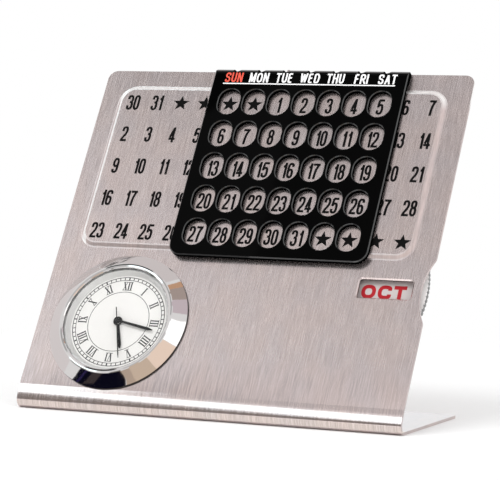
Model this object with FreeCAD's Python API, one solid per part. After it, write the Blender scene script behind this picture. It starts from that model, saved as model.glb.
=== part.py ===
import FreeCAD, Part
import math
import os

# Perpetual desk calendar with an insert clock, in millimetres.
# Every piece is drawn in the frame of the leaning panel and then stood up.
# In that frame X runs to the right, Y runs up the panel from the start of the
# bottom bend, and Z comes out of the panel's front face towards the reader.

Vector = FreeCAD.Vector

# Bent steel stand
sheet_thickness = 1.0
panel_width = 140.3
panel_height = 126.7
panel_corner_radius = 3.5
lean_angle = 31.0
lead_radius = 20.0
lead_angle = 14.0
bend_radius = 3.0
base_depth = 52.0
base_corner_radius = 1.0

# Raised pad that carries the printed dates
pad_side_margin = 7.25
pad_top_margin = 6.4
pad_foot_height = 53.8
pad_corner_radius = 7.0
pad_rise = 0.95
pad_wall_run = 2.0
pad_shift = -0.5
pad_wall_shares = ((0.0, 0.0), (0.25, 0.1), (0.5, 0.5), (0.75, 0.9), (1.0, 1.0))

# Grid of dates on the pad
column_pitch_share = 0.0755167
row_pitch_share = 0.1977444
grid_rows = 5
grid_shift = 0.3
grid_drop = 0.4

# Weekday slider
week_columns = 7
slider_side_margin = 8.2
slider_foot_drop = 2.65
slider_thickness = 1.65
slider_pad_gap = 0.25
slider_foot_radius = 4.5
slider_head_radius = 1.5
slider_edge_bevel = 0.35
slider_rest_columns = 1
slider_play = 0.3
fold_radius = 3.4
fold_back_radius = 1.2
bridge_thickness = 0.7
bridge_clearance = 0.2
groove_clearance = 0.3
rail_height = 4.5
lip_length = 12.0
lip_thickness = 1.5
date_hole_width_share = 0.863158
date_hole_height_share = 0.78327
date_hole_slim_share = 0.8
date_hole_bevel = 0.3
notch_width = 2.9
notch_depth = 2.1
nib_width = 1.4
nib_height = 1.4

# Month disc, its window and the finger notch
disc_radius_share = 0.267284
disc_edge_margin = 1.65
disc_thickness = 1.8
disc_up = 43.2
disc_gap = 1.7
disc_hub_radius = 5.5
disc_hub_height = 0.8
disc_serration_count = 144
disc_serration_depth = 0.3
serration_land_share = 0.25
window_width = 19.0
window_height = 6.9
window_corner_radius = 1.0
window_rim = 0.45
window_edge_margin = 15.65
finger_notch_radius = 25.0
finger_notch_depth = 2.95
finger_notch_corner_radius = 3.0

# Pivot of the month disc
stud_radius = 1.9
stud_flange_radius = 3.4
disc_washer_radius = 4.0
disc_washer_thickness = 0.5
spring_radius = 4.6
spring_height = 0.8
spring_thickness = 0.3
nut_across_flats = 7.0
nut_thickness = 2.2
stud_end_length = 0.6

# Insert clock: bezel, glass and case
clock_edge_margin = 5.65
clock_up = 25.25
bezel_radius = 25.5
bezel_height = 3.6
bezel_foot_height = 0.7
bezel_crown_width = 1.5
bezel_wall = 0.7
bezel_lip_width = 0.95
bezel_lip_thickness = 0.4
bezel_crown_shares = ((1.0, 0.5), (0.6, 0.1), (0.0, 0.0), (-0.8, 0.15), (-1.2, 0.6))
case_radius = 20.25
case_wall = 0.9
case_hole_clearance = 0.25
case_shelf_width = 1.35
case_shelf_thickness = 1.2
lens_thickness = 0.7
lens_crown_height = 0.3
lens_crown_bevel = 0.5
seat_clearance = 0.1
reflector_slope_width = 1.2
reflector_foot_width = 0.35
reflector_flange_thickness = 0.35
grip_ring_width = 3.1
grip_ring_height = 3.0
grip_ring_grooves = 2

# Dial and hands
dial_height = 0.6
dial_thickness = 0.4
dial_hole_clearance = 0.35
hand_thickness = 0.15
hand_gap = 0.35
hour_hand_length = 10.8
hour_hand_width = 1.2
hour_hub_radius = 1.65
minute_hand_length = 14.3
minute_hand_width = 1.05
minute_hub_radius = 1.35
second_hand_length = 14.9
second_tail_length = 5.0
second_hand_width = 0.4
second_hub_radius = 1.05
second_cap_radius = 0.5
second_cap_height = 0.1
hand_root_share = 0.8
hand_wide_share = 0.88
hand_point_share = 0.35
hour_hand_turn = 161.5
minute_hand_turn = 101.8
second_hand_turn = 163.0

# Quartz movement: plates
plate_radius = 14.0
plate_wall = 0.8
plate_thickness = 0.8
movement_clearance = 0.1
post_radius = 1.1
post_circle_radius = 11.9
post_directions = (100.0, 195.0, 345.0)
screw_radius = 0.5
screw_head_radius = 0.9
screw_head_height = 0.5

# Quartz movement: wheels, with tooth counts that give a turn a minute, an hour and half a day
wheel_thickness = 0.35
wheel_gap = 0.25
pinion_overhang = 0.05
running_clearance = 0.05
arbor_radius = 0.25
pivot_depth = 0.4
cannon_tube_radius = 0.75
hour_tube_radius = 1.25
setting_arbor_radius = 0.55
motion_distance = 5.4
motion_direction = 90.0
third_distance = 4.725
third_direction = 215.0
idler_distance = 4.86
idler_direction = 330.0
rotor_distance = 4.2
rotor_direction = 300.0
cannon_teeth = 8
setting_teeth = 24
setting_pinion_teeth = 6
hour_teeth = 24
rotor_teeth = 6
idler_teeth = 36
idler_pinion_teeth = 6
seconds_teeth = 30
seconds_pinion_teeth = 6
third_teeth = 45
third_pinion_teeth = 6
centre_teeth = 48
tooth_addendum_share = 0.85
tooth_dedendum_share = 1.25
tooth_root_share = 0.24
tooth_tip_share = 0.1

# Quartz movement: motor, circuit and cell
magnet_radius = 1.2
magnet_height = 1.1
magnet_gap = 0.3
stator_ring_width = 1.1
stator_bar_width = 1.3
stator_thickness = 0.5
coil_distance = 10.3
coil_left = -4.4
coil_right = 3.2
coil_radius = 1.05
core_width = 1.4
core_thickness = 0.4
core_left = -6.6
core_right = 5.9
stator_leg_drop = 2.1
board_thickness = 0.5
board_left = 3.5
board_foot = 3.7
board_radius = 12.7
board_top = 11.4
chip_side = 2.4
chip_height = 0.7
chip_left = 4.4
chip_foot = 4.6
crystal_radius = 0.7
crystal_length = 4.2
crystal_left = 4.0
crystal_up = 9.3
cell_radius = 3.4
cell_thickness = 2.6
cell_rim_height = 0.4
cell_rim_inset = 0.5
cell_distance = 9.2
cell_direction = 150.0
cell_clearance = 0.2
contact_thickness = 0.2
contact_width = 1.6
contact_reach = 4.6

# Clock back: lid, battery hatch and setting knob
lid_gap = 0.7
lid_thickness = 1.0
lid_rim_width = 1.8
hatch_radius = 4.3
hatch_boss_radius = 2.4
hatch_slot_width = 1.2
hatch_slot_depth = 0.5
hatch_tab_length = 0.8
hatch_tab_thickness = 0.4
hatch_tab_angle = 40.0
hatch_tab_clearance = 0.15
hatch_turn_angle = 45.0
knob_radius = 3.2
knob_height = 2.0
knob_serration_count = 20
knob_serration_depth = 0.35
knob_lid_gap = 0.3
knob_hole_clearance = 0.6

# Half a turn, for what lies opposite
half_turn = 180.0

# One overrun serves every cut
overrun = 1.0
match_tolerance = 0.001

# Worked out from the sizes above
bend_end_angle = 90.0 + lean_angle
panel_back = -sheet_thickness
pad_width = panel_width - 2 * pad_side_margin
pad_height = panel_height - pad_top_margin - pad_foot_height
pad_centre_x = pad_shift
pad_centre_y = panel_height - pad_top_margin - pad_height / 2
column_pitch = pad_width * column_pitch_share
row_pitch = pad_height * row_pitch_share
date_hole_height = row_pitch * date_hole_height_share
date_hole_width = min(
    column_pitch * date_hole_width_share, date_hole_height * date_hole_slim_share
)
grid_x = grid_shift
grid_y = pad_centre_y - grid_drop
slider_x = grid_x + slider_rest_columns * column_pitch + slider_play
slider_back = pad_rise + slider_pad_gap
slider_front = slider_back + slider_thickness
slider_foot = pad_foot_height - slider_foot_drop
slider_width = column_pitch * (week_columns - 1) + 2 * slider_side_margin
slider_top = panel_height + bridge_clearance + bridge_thickness
disc_radius = panel_width * disc_radius_share
disc_across = panel_width / 2 - disc_edge_margin - disc_radius
window_across = panel_width / 2 - window_edge_margin
clock_across = clock_edge_margin + bezel_radius - panel_width / 2
disc_face = panel_back - disc_gap
disc_back = disc_face - disc_thickness
hub_back = disc_back - disc_hub_height
washer_front = disc_face + running_clearance + disc_washer_thickness
spring_front = hub_back - running_clearance
nut_front = spring_front - spring_height
nut_back = nut_front - nut_thickness
case_inner_radius = case_radius - case_wall
bezel_bore_radius = case_radius + seat_clearance
bezel_lip_radius = bezel_bore_radius - bezel_lip_width
lens_radius = case_radius - seat_clearance
lens_back = bezel_height - bezel_lip_thickness - lens_thickness
lens_edge_front = lens_back + lens_thickness
case_front = lens_back - reflector_flange_thickness
dial_back = dial_height - dial_thickness
dial_radius = case_inner_radius - seat_clearance
hour_front = dial_back - wheel_gap
setting_front = hour_front - wheel_thickness - wheel_gap
plate_front = setting_front - wheel_thickness - wheel_gap
plate_back = plate_front - plate_thickness
centre_front = plate_back - wheel_gap
third_front = centre_front - wheel_thickness - wheel_gap
seconds_front = third_front - wheel_thickness - wheel_gap
idler_front = seconds_front - wheel_thickness - wheel_gap
rear_plate_front = idler_front - wheel_thickness - wheel_gap
rear_plate_back = rear_plate_front - plate_thickness
lid_front = rear_plate_back - lid_gap
lid_back = lid_front - lid_thickness
knob_front = lid_back - knob_lid_gap
hour_hand_back = dial_height + hand_gap
minute_hand_back = hour_hand_back + hand_thickness + hand_gap
second_hand_back = minute_hand_back + hand_thickness + hand_gap
cell_front = plate_back - contact_thickness
cell_back = cell_front - cell_thickness


# Drawing helpers


def drawn(start, steps):
    """A closed wire of lines and arcs; a step is an end point or a pair of middle and end points."""
    edges = []
    here = start
    for step in steps:
        if isinstance(step, tuple):
            middle, there = step
            edges.append(Part.Arc(here, middle, there).toShape())
        else:
            there = step
            edges.append(Part.LineSegment(here, there).toShape())
        here = there
    return Part.Wire(edges)


def polar(radius, angle):
    """The point at this radius and angle in the panel's plane."""
    turn = math.radians(angle)
    return Vector(radius * math.cos(turn), radius * math.sin(turn), 0)


def rounded_rectangle(width, height, radii, centre):
    """A wire with a radius for each corner: upper right, upper left, lower left, lower right."""
    quarter = 90.0
    signs = ((1, 1), (-1, 1), (-1, -1), (1, -1))
    arcs = []
    for index, (sign, radius) in enumerate(zip(signs, radii)):
        corner = Vector(sign[0] * (width / 2 - radius), sign[1] * (height / 2 - radius), 0)
        points = [
            centre + corner + polar(radius, quarter * (index + share))
            for share in (0.0, 0.5, 1.0)
        ]
        arcs.append(points)
    steps = []
    for first, middle, last in arcs[1:] + arcs[:1]:
        steps.append(first)
        steps.append((middle, last))
    return drawn(arcs[0][2], steps)


def even_rectangle(width, height, radius, centre):
    """A rectangle wire with four equal corner radii."""
    return rounded_rectangle(width, height, (radius,) * 4, centre)


def raised(wire, height):
    """The prism that stands on a flat wire."""
    return Part.Face(wire).extrude(Vector(0, 0, height))


def block(left, right, foot, top, back, front):
    """A box between six planes of the panel's frame."""
    return Part.makeBox(right - left, top - foot, front - back, Vector(left, foot, back))


def disc(radius, back, front, centre=Vector(0, 0, 0)):
    """A round plate or a shaft that stands square to the panel."""
    return Part.makeCylinder(radius, front - back, centre + Vector(0, 0, back))


def ring(outer, inner, back, front, centre=Vector(0, 0, 0)):
    """A round plate with a round hole."""
    return disc(outer, back, front, centre).cut(
        disc(inner, back - overrun, front + overrun, centre)
    )


def turned(points):
    """The solid of revolution of an outline given as pairs of radius and height."""
    corners = [Vector(radius, 0, height) for radius, height in points]
    wire = Part.makePolygon(corners + corners[:1])
    return Part.Face(wire).revolve(Vector(0, 0, 0), Vector(0, 0, 1), 360)


def sector(outer, inner, back, front, middle, spread):
    """A part of a flat ring, spread evenly on both sides of an angle."""
    corners = ((inner, back), (outer, back), (outer, front), (inner, front), (inner, back))
    wire = Part.makePolygon([Vector(radius, 0, height) for radius, height in corners])
    wire.rotate(Vector(0, 0, 0), Vector(0, 0, 1), middle - spread / 2)
    return Part.Face(wire).revolve(Vector(0, 0, 0), Vector(0, 0, 1), spread)


def serrated(radius, depth, count, back, front):
    """A round plate whose rim has evenly spaced notches for the finger."""
    pitch = 360.0 / count
    corners = []
    for index in range(count):
        middle = index * pitch
        corners.append(polar(radius, middle - serration_land_share * pitch))
        corners.append(polar(radius, middle + serration_land_share * pitch))
        corners.append(polar(radius - depth, middle + pitch / 2))
    wire = Part.makePolygon(corners + corners[:1])
    wire.translate(Vector(0, 0, back))
    return raised(wire, front - back)


# Gear teeth


def toothed(teeth, module, back, front, phase):
    """A toothed wheel with a tooth centred on the angle called phase."""
    pitch = 360.0 / teeth
    tip = module * (teeth / 2 + tooth_addendum_share)
    root = module * (teeth / 2 - tooth_dedendum_share)
    corners = []
    for index in range(teeth):
        middle = phase + index * pitch
        corners.append(polar(root, middle - tooth_root_share * pitch))
        corners.append(polar(tip, middle - tooth_tip_share * pitch))
        corners.append(polar(tip, middle + tooth_tip_share * pitch))
        corners.append(polar(root, middle + tooth_root_share * pitch))
    wire = Part.makePolygon(corners + corners[:1])
    wire.translate(Vector(0, 0, back))
    return raised(wire, front - back)


def meshing_phase(driver_teeth, driver_phase, direction, driven_teeth):
    """The phase that puts a gap of the driven wheel opposite a tooth of its driver."""
    driver_part = (direction - driver_phase) * driver_teeth / 360.0
    driven_part = 0.5 - driver_part
    return direction + half_turn - driven_part * 360.0 / driven_teeth


def wheel(teeth, module, front, phase):
    """A thin wheel whose front face is at this height."""
    return toothed(teeth, module, front - wheel_thickness, front, phase)


def pinion(teeth, module, front, phase):
    """A pinion a little longer than the wheel that it meets at this height."""
    back = front - wheel_thickness - pinion_overhang
    return toothed(teeth, module, back, front + pinion_overhang, phase)


setting_place = polar(motion_distance, motion_direction)
third_place = polar(third_distance, third_direction)
idler_place = polar(idler_distance, idler_direction)
rotor_place = idler_place + polar(rotor_distance, rotor_direction)
cell_place = polar(cell_distance, cell_direction)
post_places = [polar(post_circle_radius, direction) for direction in post_directions]
cannon_module = motion_distance * 2 / (cannon_teeth + setting_teeth)
hour_module = motion_distance * 2 / (hour_teeth + setting_pinion_teeth)
centre_module = third_distance * 2 / (centre_teeth + third_pinion_teeth)
third_module = third_distance * 2 / (third_teeth + seconds_pinion_teeth)
seconds_module = idler_distance * 2 / (seconds_teeth + idler_pinion_teeth)
idler_module = rotor_distance * 2 / (idler_teeth + rotor_teeth)


# Stand


def outward(turn):
    """The direction out of the sheet's outer face after it has bent by this angle."""
    bend = math.radians(turn)
    return Vector(0, -math.sin(bend), math.cos(bend))


def onward(turn):
    """The direction along the sheet, from the panel to the base, after this bend."""
    bend = math.radians(turn)
    return Vector(0, -math.cos(bend), -math.sin(bend))


lead_centre = Vector(0, 0, -lead_radius)
bend_centre = lead_centre + outward(lead_angle) * (lead_radius - bend_radius)
base_start = bend_centre + outward(bend_end_angle) * bend_radius
base_end = base_start + onward(bend_end_angle) * base_depth
base_inward = outward(bend_end_angle) * -sheet_thickness


def bent_sheet():
    """The sheet seen from its end: panel, gentle lead, tight bend and base."""
    lead_middle = lead_angle / 2
    bend_middle = (lead_angle + bend_end_angle) / 2
    outer_lead = lead_radius
    inner_lead = lead_radius - sheet_thickness
    outer_bend = bend_radius
    inner_bend = bend_radius - sheet_thickness
    steps = [
        Vector(0, 0, 0),
        (
            lead_centre + outward(lead_middle) * outer_lead,
            lead_centre + outward(lead_angle) * outer_lead,
        ),
        (bend_centre + outward(bend_middle) * outer_bend, base_start),
        base_end,
        base_end + base_inward,
        base_start + base_inward,
        (
            bend_centre + outward(bend_middle) * inner_bend,
            bend_centre + outward(lead_angle) * inner_bend,
        ),
        (lead_centre + outward(lead_middle) * inner_lead, Vector(0, 0, panel_back)),
        Vector(0, panel_height, panel_back),
        Vector(0, panel_height, 0),
    ]
    profile = Part.Face(drawn(Vector(0, panel_height, 0), steps))
    profile.translate(Vector(-panel_width / 2, 0, 0))
    return profile.extrude(Vector(panel_width, 0, 0))


def round_corners(sheet, radius, places):
    """Rounds the short edges of the sheet whose middles lie at these places."""
    edges = [
        edge
        for edge in sheet.Edges
        if any(
            edge.CenterOfMass.distanceToPoint(place) < match_tolerance for place in places
        )
    ]
    return sheet.makeFillet(radius, edges)


def both_ends(middle):
    """The two places at the sheet's left and right ends, level with this point."""
    return [middle + Vector(side * panel_width / 2, 0, 0) for side in (-1, 1)]


def pad_form(inset, level):
    """The rounded pad with a smooth S-shaped wall, from this level up."""
    wires = []
    for run_share, rise_share in pad_wall_shares:
        step = inset + pad_wall_run * run_share
        centre = Vector(pad_centre_x, pad_centre_y, level + pad_rise * rise_share)
        wires.append(
            even_rectangle(
                pad_width - 2 * step, pad_height - 2 * step, pad_corner_radius - step, centre
            )
        )
    return Part.makeLoft(wires, True, True)


def window_cutter():
    """The month window with a softened front rim."""
    wires = []
    for spread, level in (
        (0.0, panel_back - overrun),
        (0.0, -window_rim),
        (window_rim, 0.0),
        (window_rim, overrun),
    ):
        wires.append(
            even_rectangle(
                window_width + 2 * spread,
                window_height + 2 * spread,
                window_corner_radius + spread,
                Vector(window_across, disc_up, level),
            )
        )
    return Part.makeLoft(wires, True, True)


def nib():
    """The little tab on the panel's top edge that the slider's notches drop over."""
    half = nib_width / 2
    foot = panel_height - nib_width
    shoulder = panel_height + nib_height - half
    steps = [
        Vector(grid_x + half, foot, panel_back),
        Vector(grid_x + half, shoulder, panel_back),
        (
            Vector(grid_x, shoulder + half, panel_back),
            Vector(grid_x - half, shoulder, panel_back),
        ),
        Vector(grid_x - half, foot, panel_back),
    ]
    return raised(drawn(Vector(grid_x - half, foot, panel_back), steps), sheet_thickness)


def make_stand():
    """One bent sheet with its pad pressed forward and its openings punched."""
    sheet = bent_sheet()
    top_middle = Vector(0, panel_height, panel_back / 2)
    sheet = round_corners(sheet, panel_corner_radius, both_ends(top_middle))
    sheet = round_corners(sheet, base_corner_radius, both_ends(base_end + base_inward / 2))
    wall_slope = math.atan2(pad_rise, pad_wall_run)
    hollow_inset = sheet_thickness * math.tan(wall_slope / 2)
    sheet = sheet.fuse(pad_form(0.0, 0.0))
    sheet = sheet.cut(pad_form(hollow_inset, panel_back))
    sheet = sheet.cut(window_cutter())
    clock_hole = disc(
        case_radius + case_hole_clearance,
        panel_back - overrun,
        overrun,
        Vector(clock_across, clock_up, 0),
    )
    notch_centre = Vector(panel_width / 2 + finger_notch_radius - finger_notch_depth, disc_up, 0)
    finger_notch = disc(finger_notch_radius, panel_back - overrun, overrun, notch_centre)
    sheet = sheet.cut(clock_hole).cut(finger_notch)
    sheet = round_corners(sheet, finger_notch_corner_radius, finger_notch_corners())
    return sheet.fuse(nib()).removeSplitter()


def finger_notch_corners():
    """Where the notch meets the panel's right edge, at the middle of the sheet's thickness."""
    inward = finger_notch_radius - finger_notch_depth
    half_chord = math.sqrt(finger_notch_radius**2 - inward**2)
    edge = panel_width / 2
    return [Vector(edge, disc_up + side * half_chord, panel_back / 2) for side in (-1, 1)]


# Weekday slider


def slider_section():
    """The slider seen from its end: plate, rounded fold, groove for the panel and rear lip."""
    diagonal = math.sin(math.radians(45))
    groove_front = groove_clearance
    groove_back = panel_back - groove_clearance
    lip_back = groove_back - lip_thickness
    lip_foot = panel_height - lip_length
    rail_foot = panel_height - rail_height
    groove_top = panel_height + bridge_clearance
    fold_y = slider_top - fold_radius
    fold_z = slider_front - fold_radius
    back_y = slider_top - fold_back_radius
    back_z = lip_back + fold_back_radius
    steps = [
        Vector(0, slider_foot, slider_front),
        Vector(0, fold_y, slider_front),
        (
            Vector(0, fold_y + diagonal * fold_radius, fold_z + diagonal * fold_radius),
            Vector(0, slider_top, fold_z),
        ),
        Vector(0, slider_top, back_z),
        (
            Vector(0, back_y + diagonal * fold_back_radius, back_z - diagonal * fold_back_radius),
            Vector(0, back_y, lip_back),
        ),
        Vector(0, lip_foot, lip_back),
        Vector(0, lip_foot, groove_back),
        Vector(0, groove_top, groove_back),
        Vector(0, groove_top, groove_front),
        Vector(0, rail_foot, groove_front),
        Vector(0, rail_foot, slider_back),
        Vector(0, slider_foot, slider_back),
    ]
    return Part.Face(drawn(Vector(0, slider_foot, slider_back), steps))


def slider_outline():
    """The slider seen from the front: rounded corners and a bevel round the front face."""
    height = slider_top - slider_foot
    centre_y = (slider_top + slider_foot) / 2
    low = panel_back - groove_clearance - lip_thickness - overrun
    wires = []
    for inset, level in (
        (0.0, low),
        (0.0, slider_front - slider_edge_bevel),
        (slider_edge_bevel, slider_front),
    ):
        radii = (
            slider_head_radius - inset,
            slider_head_radius - inset,
            slider_foot_radius - inset,
            slider_foot_radius - inset,
        )
        centre = Vector(slider_x, centre_y, level)
        wires.append(
            rounded_rectangle(slider_width - 2 * inset, height - 2 * inset, radii, centre)
        )
    return Part.makeLoft(wires, True, True)


def date_hole(x, y):
    """One long round hole with a bevelled front edge."""
    wires = []
    for spread, level in (
        (0.0, slider_back - overrun),
        (0.0, slider_front - date_hole_bevel),
        (date_hole_bevel, slider_front),
        (date_hole_bevel, slider_front + overrun),
    ):
        wires.append(long_hole(date_hole_width + 2 * spread, date_hole_height + 2 * spread, x, y, level))
    return Part.makeLoft(wires, True, True)


def long_hole(width, height, x, y, level):
    """A wire of two half circles joined by straight sides, taller than it is wide."""
    half = width / 2
    rise = height / 2 - half
    steps = [
        Vector(x + half, y + rise, level),
        (Vector(x, y + rise + half, level), Vector(x - half, y + rise, level)),
        Vector(x - half, y - rise, level),
        (Vector(x, y - rise - half, level), Vector(x + half, y - rise, level)),
    ]
    return drawn(Vector(x + half, y - rise, level), steps)


def notch_cutter(x):
    """A round-bottomed notch across the whole fold."""
    half = notch_width / 2
    foot = slider_top - notch_depth + half
    top = slider_top + overrun
    back = panel_back - groove_clearance - lip_thickness - overrun
    steps = [
        Vector(x + half, top, back),
        Vector(x - half, top, back),
        Vector(x - half, foot, back),
        (Vector(x, foot - half, back), Vector(x + half, foot, back)),
    ]
    wire = drawn(Vector(x + half, foot, back), steps)
    return raised(wire, slider_front + overrun - back)


def column_places():
    """Where the seven weekday columns lie across the slider."""
    middle = (week_columns - 1) / 2
    return [slider_x + (index - middle) * column_pitch for index in range(week_columns)]


def row_places():
    """Where the five rows of dates lie up the panel."""
    middle = (grid_rows - 1) / 2
    return [grid_y + (middle - index) * row_pitch for index in range(grid_rows)]


def make_slider():
    """The pierced plate that hooks over the panel's top edge."""
    section = slider_section()
    section.translate(Vector(slider_x - slider_width / 2, 0, 0))
    plate = section.extrude(Vector(slider_width, 0, 0)).common(slider_outline())
    cutters = [date_hole(x, y) for x in column_places() for y in row_places()]
    cutters += [notch_cutter(x - slider_play) for x in column_places()]
    return plate.cut(cutters)


# Month disc and its pivot


def make_month_disc():
    """A disc with a serrated rim and a short hub behind it."""
    plate = serrated(disc_radius, disc_serration_depth, disc_serration_count, disc_back, disc_face)
    hub = disc(disc_hub_radius, hub_back, disc_back)
    bore = disc(stud_radius + running_clearance, hub_back - overrun, disc_face + overrun)
    return plate.fuse(hub).cut(bore).removeSplitter()


def make_stud():
    """The stud welded to the panel's back: a spacing flange and a long shank."""
    flange = disc(stud_flange_radius, washer_front, panel_back)
    shank = disc(stud_radius, nut_back - stud_end_length, washer_front)
    return flange.fuse(shank).removeSplitter()


def make_disc_washer():
    """A thin washer that the disc's face runs on."""
    back = washer_front - disc_washer_thickness
    return ring(disc_washer_radius, stud_radius + running_clearance, back, washer_front)


def make_disc_spring():
    """A coned spring washer that presses on the hub and holds the disc by friction."""
    bore = stud_radius + running_clearance
    back = spring_front - spring_height
    return turned(
        (
            (spring_radius, spring_front),
            (bore, back + spring_thickness),
            (bore, back),
            (spring_radius, spring_front - spring_thickness),
        )
    )


def make_nut():
    """A thin hexagon nut on the end of the stud."""
    corner_radius = nut_across_flats / math.sqrt(3)
    corners = [polar(corner_radius, 60.0 * index) for index in range(7)]
    wire = Part.makePolygon(corners)
    wire.translate(Vector(0, 0, nut_back))
    hole = disc(stud_radius, nut_back - overrun, nut_front + overrun)
    return raised(wire, nut_thickness).cut(hole)


# Clock case


def make_bezel():
    """A thin pressed ring: a low foot, a wide sloping face, a rounded crown and a lip over the glass."""
    crown_middle = bezel_bore_radius
    crown_half = bezel_crown_width / 2
    lip_back = bezel_height - bezel_lip_thickness
    crown_points = []
    for out_share, drop_share in bezel_crown_shares:
        radius = crown_middle + crown_half * out_share
        crown_points.append((radius, bezel_height - bezel_lip_thickness * drop_share))
    bore_wall = bezel_bore_radius + bezel_wall
    rim_inside = bezel_radius - bezel_wall
    return turned(
        [(bezel_radius, 0.0), (bezel_radius, bezel_foot_height)]
        + crown_points
        + [
            (bezel_lip_radius, lip_back),
            (bezel_bore_radius, lip_back),
            (bezel_bore_radius, 0.0),
            (bore_wall, 0.0),
            (bore_wall, lip_back - bezel_wall),
            (rim_inside, bezel_foot_height - bezel_wall / 2),
            (rim_inside, 0.0),
        ]
    )


def make_lens():
    """The glass: a round plate whose raised middle fills the bezel's lip, with a bevelled rim."""
    crown_radius = bezel_lip_radius - seat_clearance
    top = lens_edge_front + lens_crown_height
    return turned(
        (
            (0.0, lens_back),
            (lens_radius, lens_back),
            (lens_radius, lens_edge_front),
            (crown_radius, lens_edge_front),
            (crown_radius - lens_crown_bevel, top),
            (0.0, top),
        )
    )


def make_reflector():
    """The bright sloping ring between the glass and the dial, with a flange over the case's rim."""
    outer = case_inner_radius - seat_clearance
    inner_foot = outer - reflector_foot_width - reflector_slope_width
    inner_top = outer - reflector_foot_width
    return turned(
        (
            (outer, dial_height),
            (outer, case_front),
            (lens_radius, case_front),
            (lens_radius, lens_back),
            (inner_top, lens_back),
            (inner_foot, dial_height + hand_thickness),
            (inner_foot, dial_height),
        )
    )


def make_case():
    """The plastic cup that passes through the panel, with a shelf for the dial."""
    shelf_radius = case_inner_radius - case_shelf_width
    shelf_back = dial_back - case_shelf_thickness
    return turned(
        (
            (case_radius, case_front),
            (case_inner_radius, case_front),
            (case_inner_radius, dial_back),
            (shelf_radius, dial_back),
            (shelf_radius, shelf_back),
            (case_inner_radius, shelf_back),
            (case_inner_radius, lid_back),
            (case_radius, lid_back),
        )
    )


def make_grip_ring():
    """The soft ring behind the panel that holds the clock in its hole."""
    inner = case_radius + running_clearance
    outer = case_radius + grip_ring_width
    back = panel_back - grip_ring_height
    rib = grip_ring_height / (2 * grip_ring_grooves)
    points = [(inner, panel_back), (outer, panel_back)]
    for index in range(grip_ring_grooves):
        level = panel_back - rib * (2 * index + 1)
        points.append((outer, level))
        points.append((outer - rib, level - rib / 2))
        points.append((outer, level - rib))
    points.append((outer, back))
    points.append((inner, back))
    return turned(points)


def make_dial():
    """The printed dial with a hole for the hands' tubes."""
    hole = hour_tube_radius + dial_hole_clearance
    return ring(dial_radius, hole, dial_back, dial_height)


def make_lid():
    """The snap-in back of the clock case, with holes for the knob and the battery hatch."""
    outer = case_inner_radius - seat_clearance
    plate = disc(outer, lid_back, lid_front)
    rim = ring(outer, outer - lid_rim_width, lid_front, rear_plate_back)
    knob_hole = disc(
        setting_arbor_radius + knob_hole_clearance,
        lid_back - overrun,
        lid_front + overrun,
        setting_place,
    )
    hatch_hole = disc(
        hatch_radius + running_clearance, lid_back - overrun, lid_front + overrun, cell_place
    )
    gates = hatch_tabs(hatch_tab_clearance, lid_back - overrun, lid_front + overrun)
    for gate in gates:
        gate.rotate(Vector(0, 0, 0), Vector(0, 0, 1), -hatch_turn_angle)
        gate.translate(cell_place)
    return plate.fuse(rim).cut([knob_hole, hatch_hole] + gates).removeSplitter()


def hatch_tabs(clearance, back, front):
    """The two tabs that lock the hatch behind the lid, or their gates if given a clearance."""
    reach = hatch_radius + hatch_tab_length + clearance
    angle = hatch_tab_angle + 2 * math.degrees(clearance / hatch_radius)
    root = hatch_boss_radius
    return [sector(reach, root, back, front, side, angle) for side in (0.0, half_turn)]


def make_hatch():
    """The round battery cover with a coin slot and a boss that presses on the cell."""
    plate = disc(hatch_radius, lid_back, lid_front)
    boss = disc(hatch_boss_radius, lid_front, cell_back - cell_clearance)
    slot = block(
        -hatch_radius,
        hatch_radius,
        -hatch_slot_width / 2,
        hatch_slot_width / 2,
        lid_back - overrun,
        lid_back + hatch_slot_depth,
    )
    tabs = hatch_tabs(0.0, lid_front + running_clearance, lid_front + hatch_tab_thickness)
    neck = disc(hatch_radius, lid_front, lid_front + hatch_tab_thickness)
    hatch = plate.fuse([boss, neck] + tabs).cut(slot).removeSplitter()
    hatch.translate(cell_place)
    return hatch


def make_knob():
    """The serrated setting knob on the end of the setting arbor."""
    head = serrated(
        knob_radius, knob_serration_depth, knob_serration_count, knob_front - knob_height, knob_front
    )
    head.translate(setting_place)
    socket = disc(setting_arbor_radius, knob_front - knob_height / 2, knob_front, setting_place)
    return head.cut(socket)


# Movement plates


def make_holder():
    """The plastic ring that centres the movement in the case."""
    outer = case_inner_radius - seat_clearance
    front = dial_back - case_shelf_thickness
    return ring(outer, plate_radius + movement_clearance, rear_plate_back, front)


def arbor_holes(places, radius, back, front):
    """Cutters for shafts through a plate."""
    hole_radius = radius + running_clearance
    return [disc(hole_radius, back - overrun, front + overrun, place) for place in places]


def make_main_plate():
    """The plate between the motion work and the train, with a wall up to the dial."""
    plate = disc(plate_radius, plate_back, plate_front)
    wall = ring(plate_radius, plate_radius - plate_wall, plate_front, dial_back)
    centre_hole = arbor_holes([Vector(0, 0, 0)], cannon_tube_radius, plate_back, plate_front)
    setting_hole = arbor_holes([setting_place], setting_arbor_radius, plate_back, plate_front)
    pivots = [
        disc(
            arbor_radius + running_clearance, plate_back - overrun, plate_back + pivot_depth, place
        )
        for place in (third_place, idler_place, rotor_place)
    ]
    threads = [
        disc(screw_radius, plate_back - overrun, plate_back + pivot_depth, place)
        for place in post_places
    ]
    cutters = centre_hole + setting_hole + pivots + threads
    return plate.fuse(wall).cut(cutters).removeSplitter()


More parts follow.
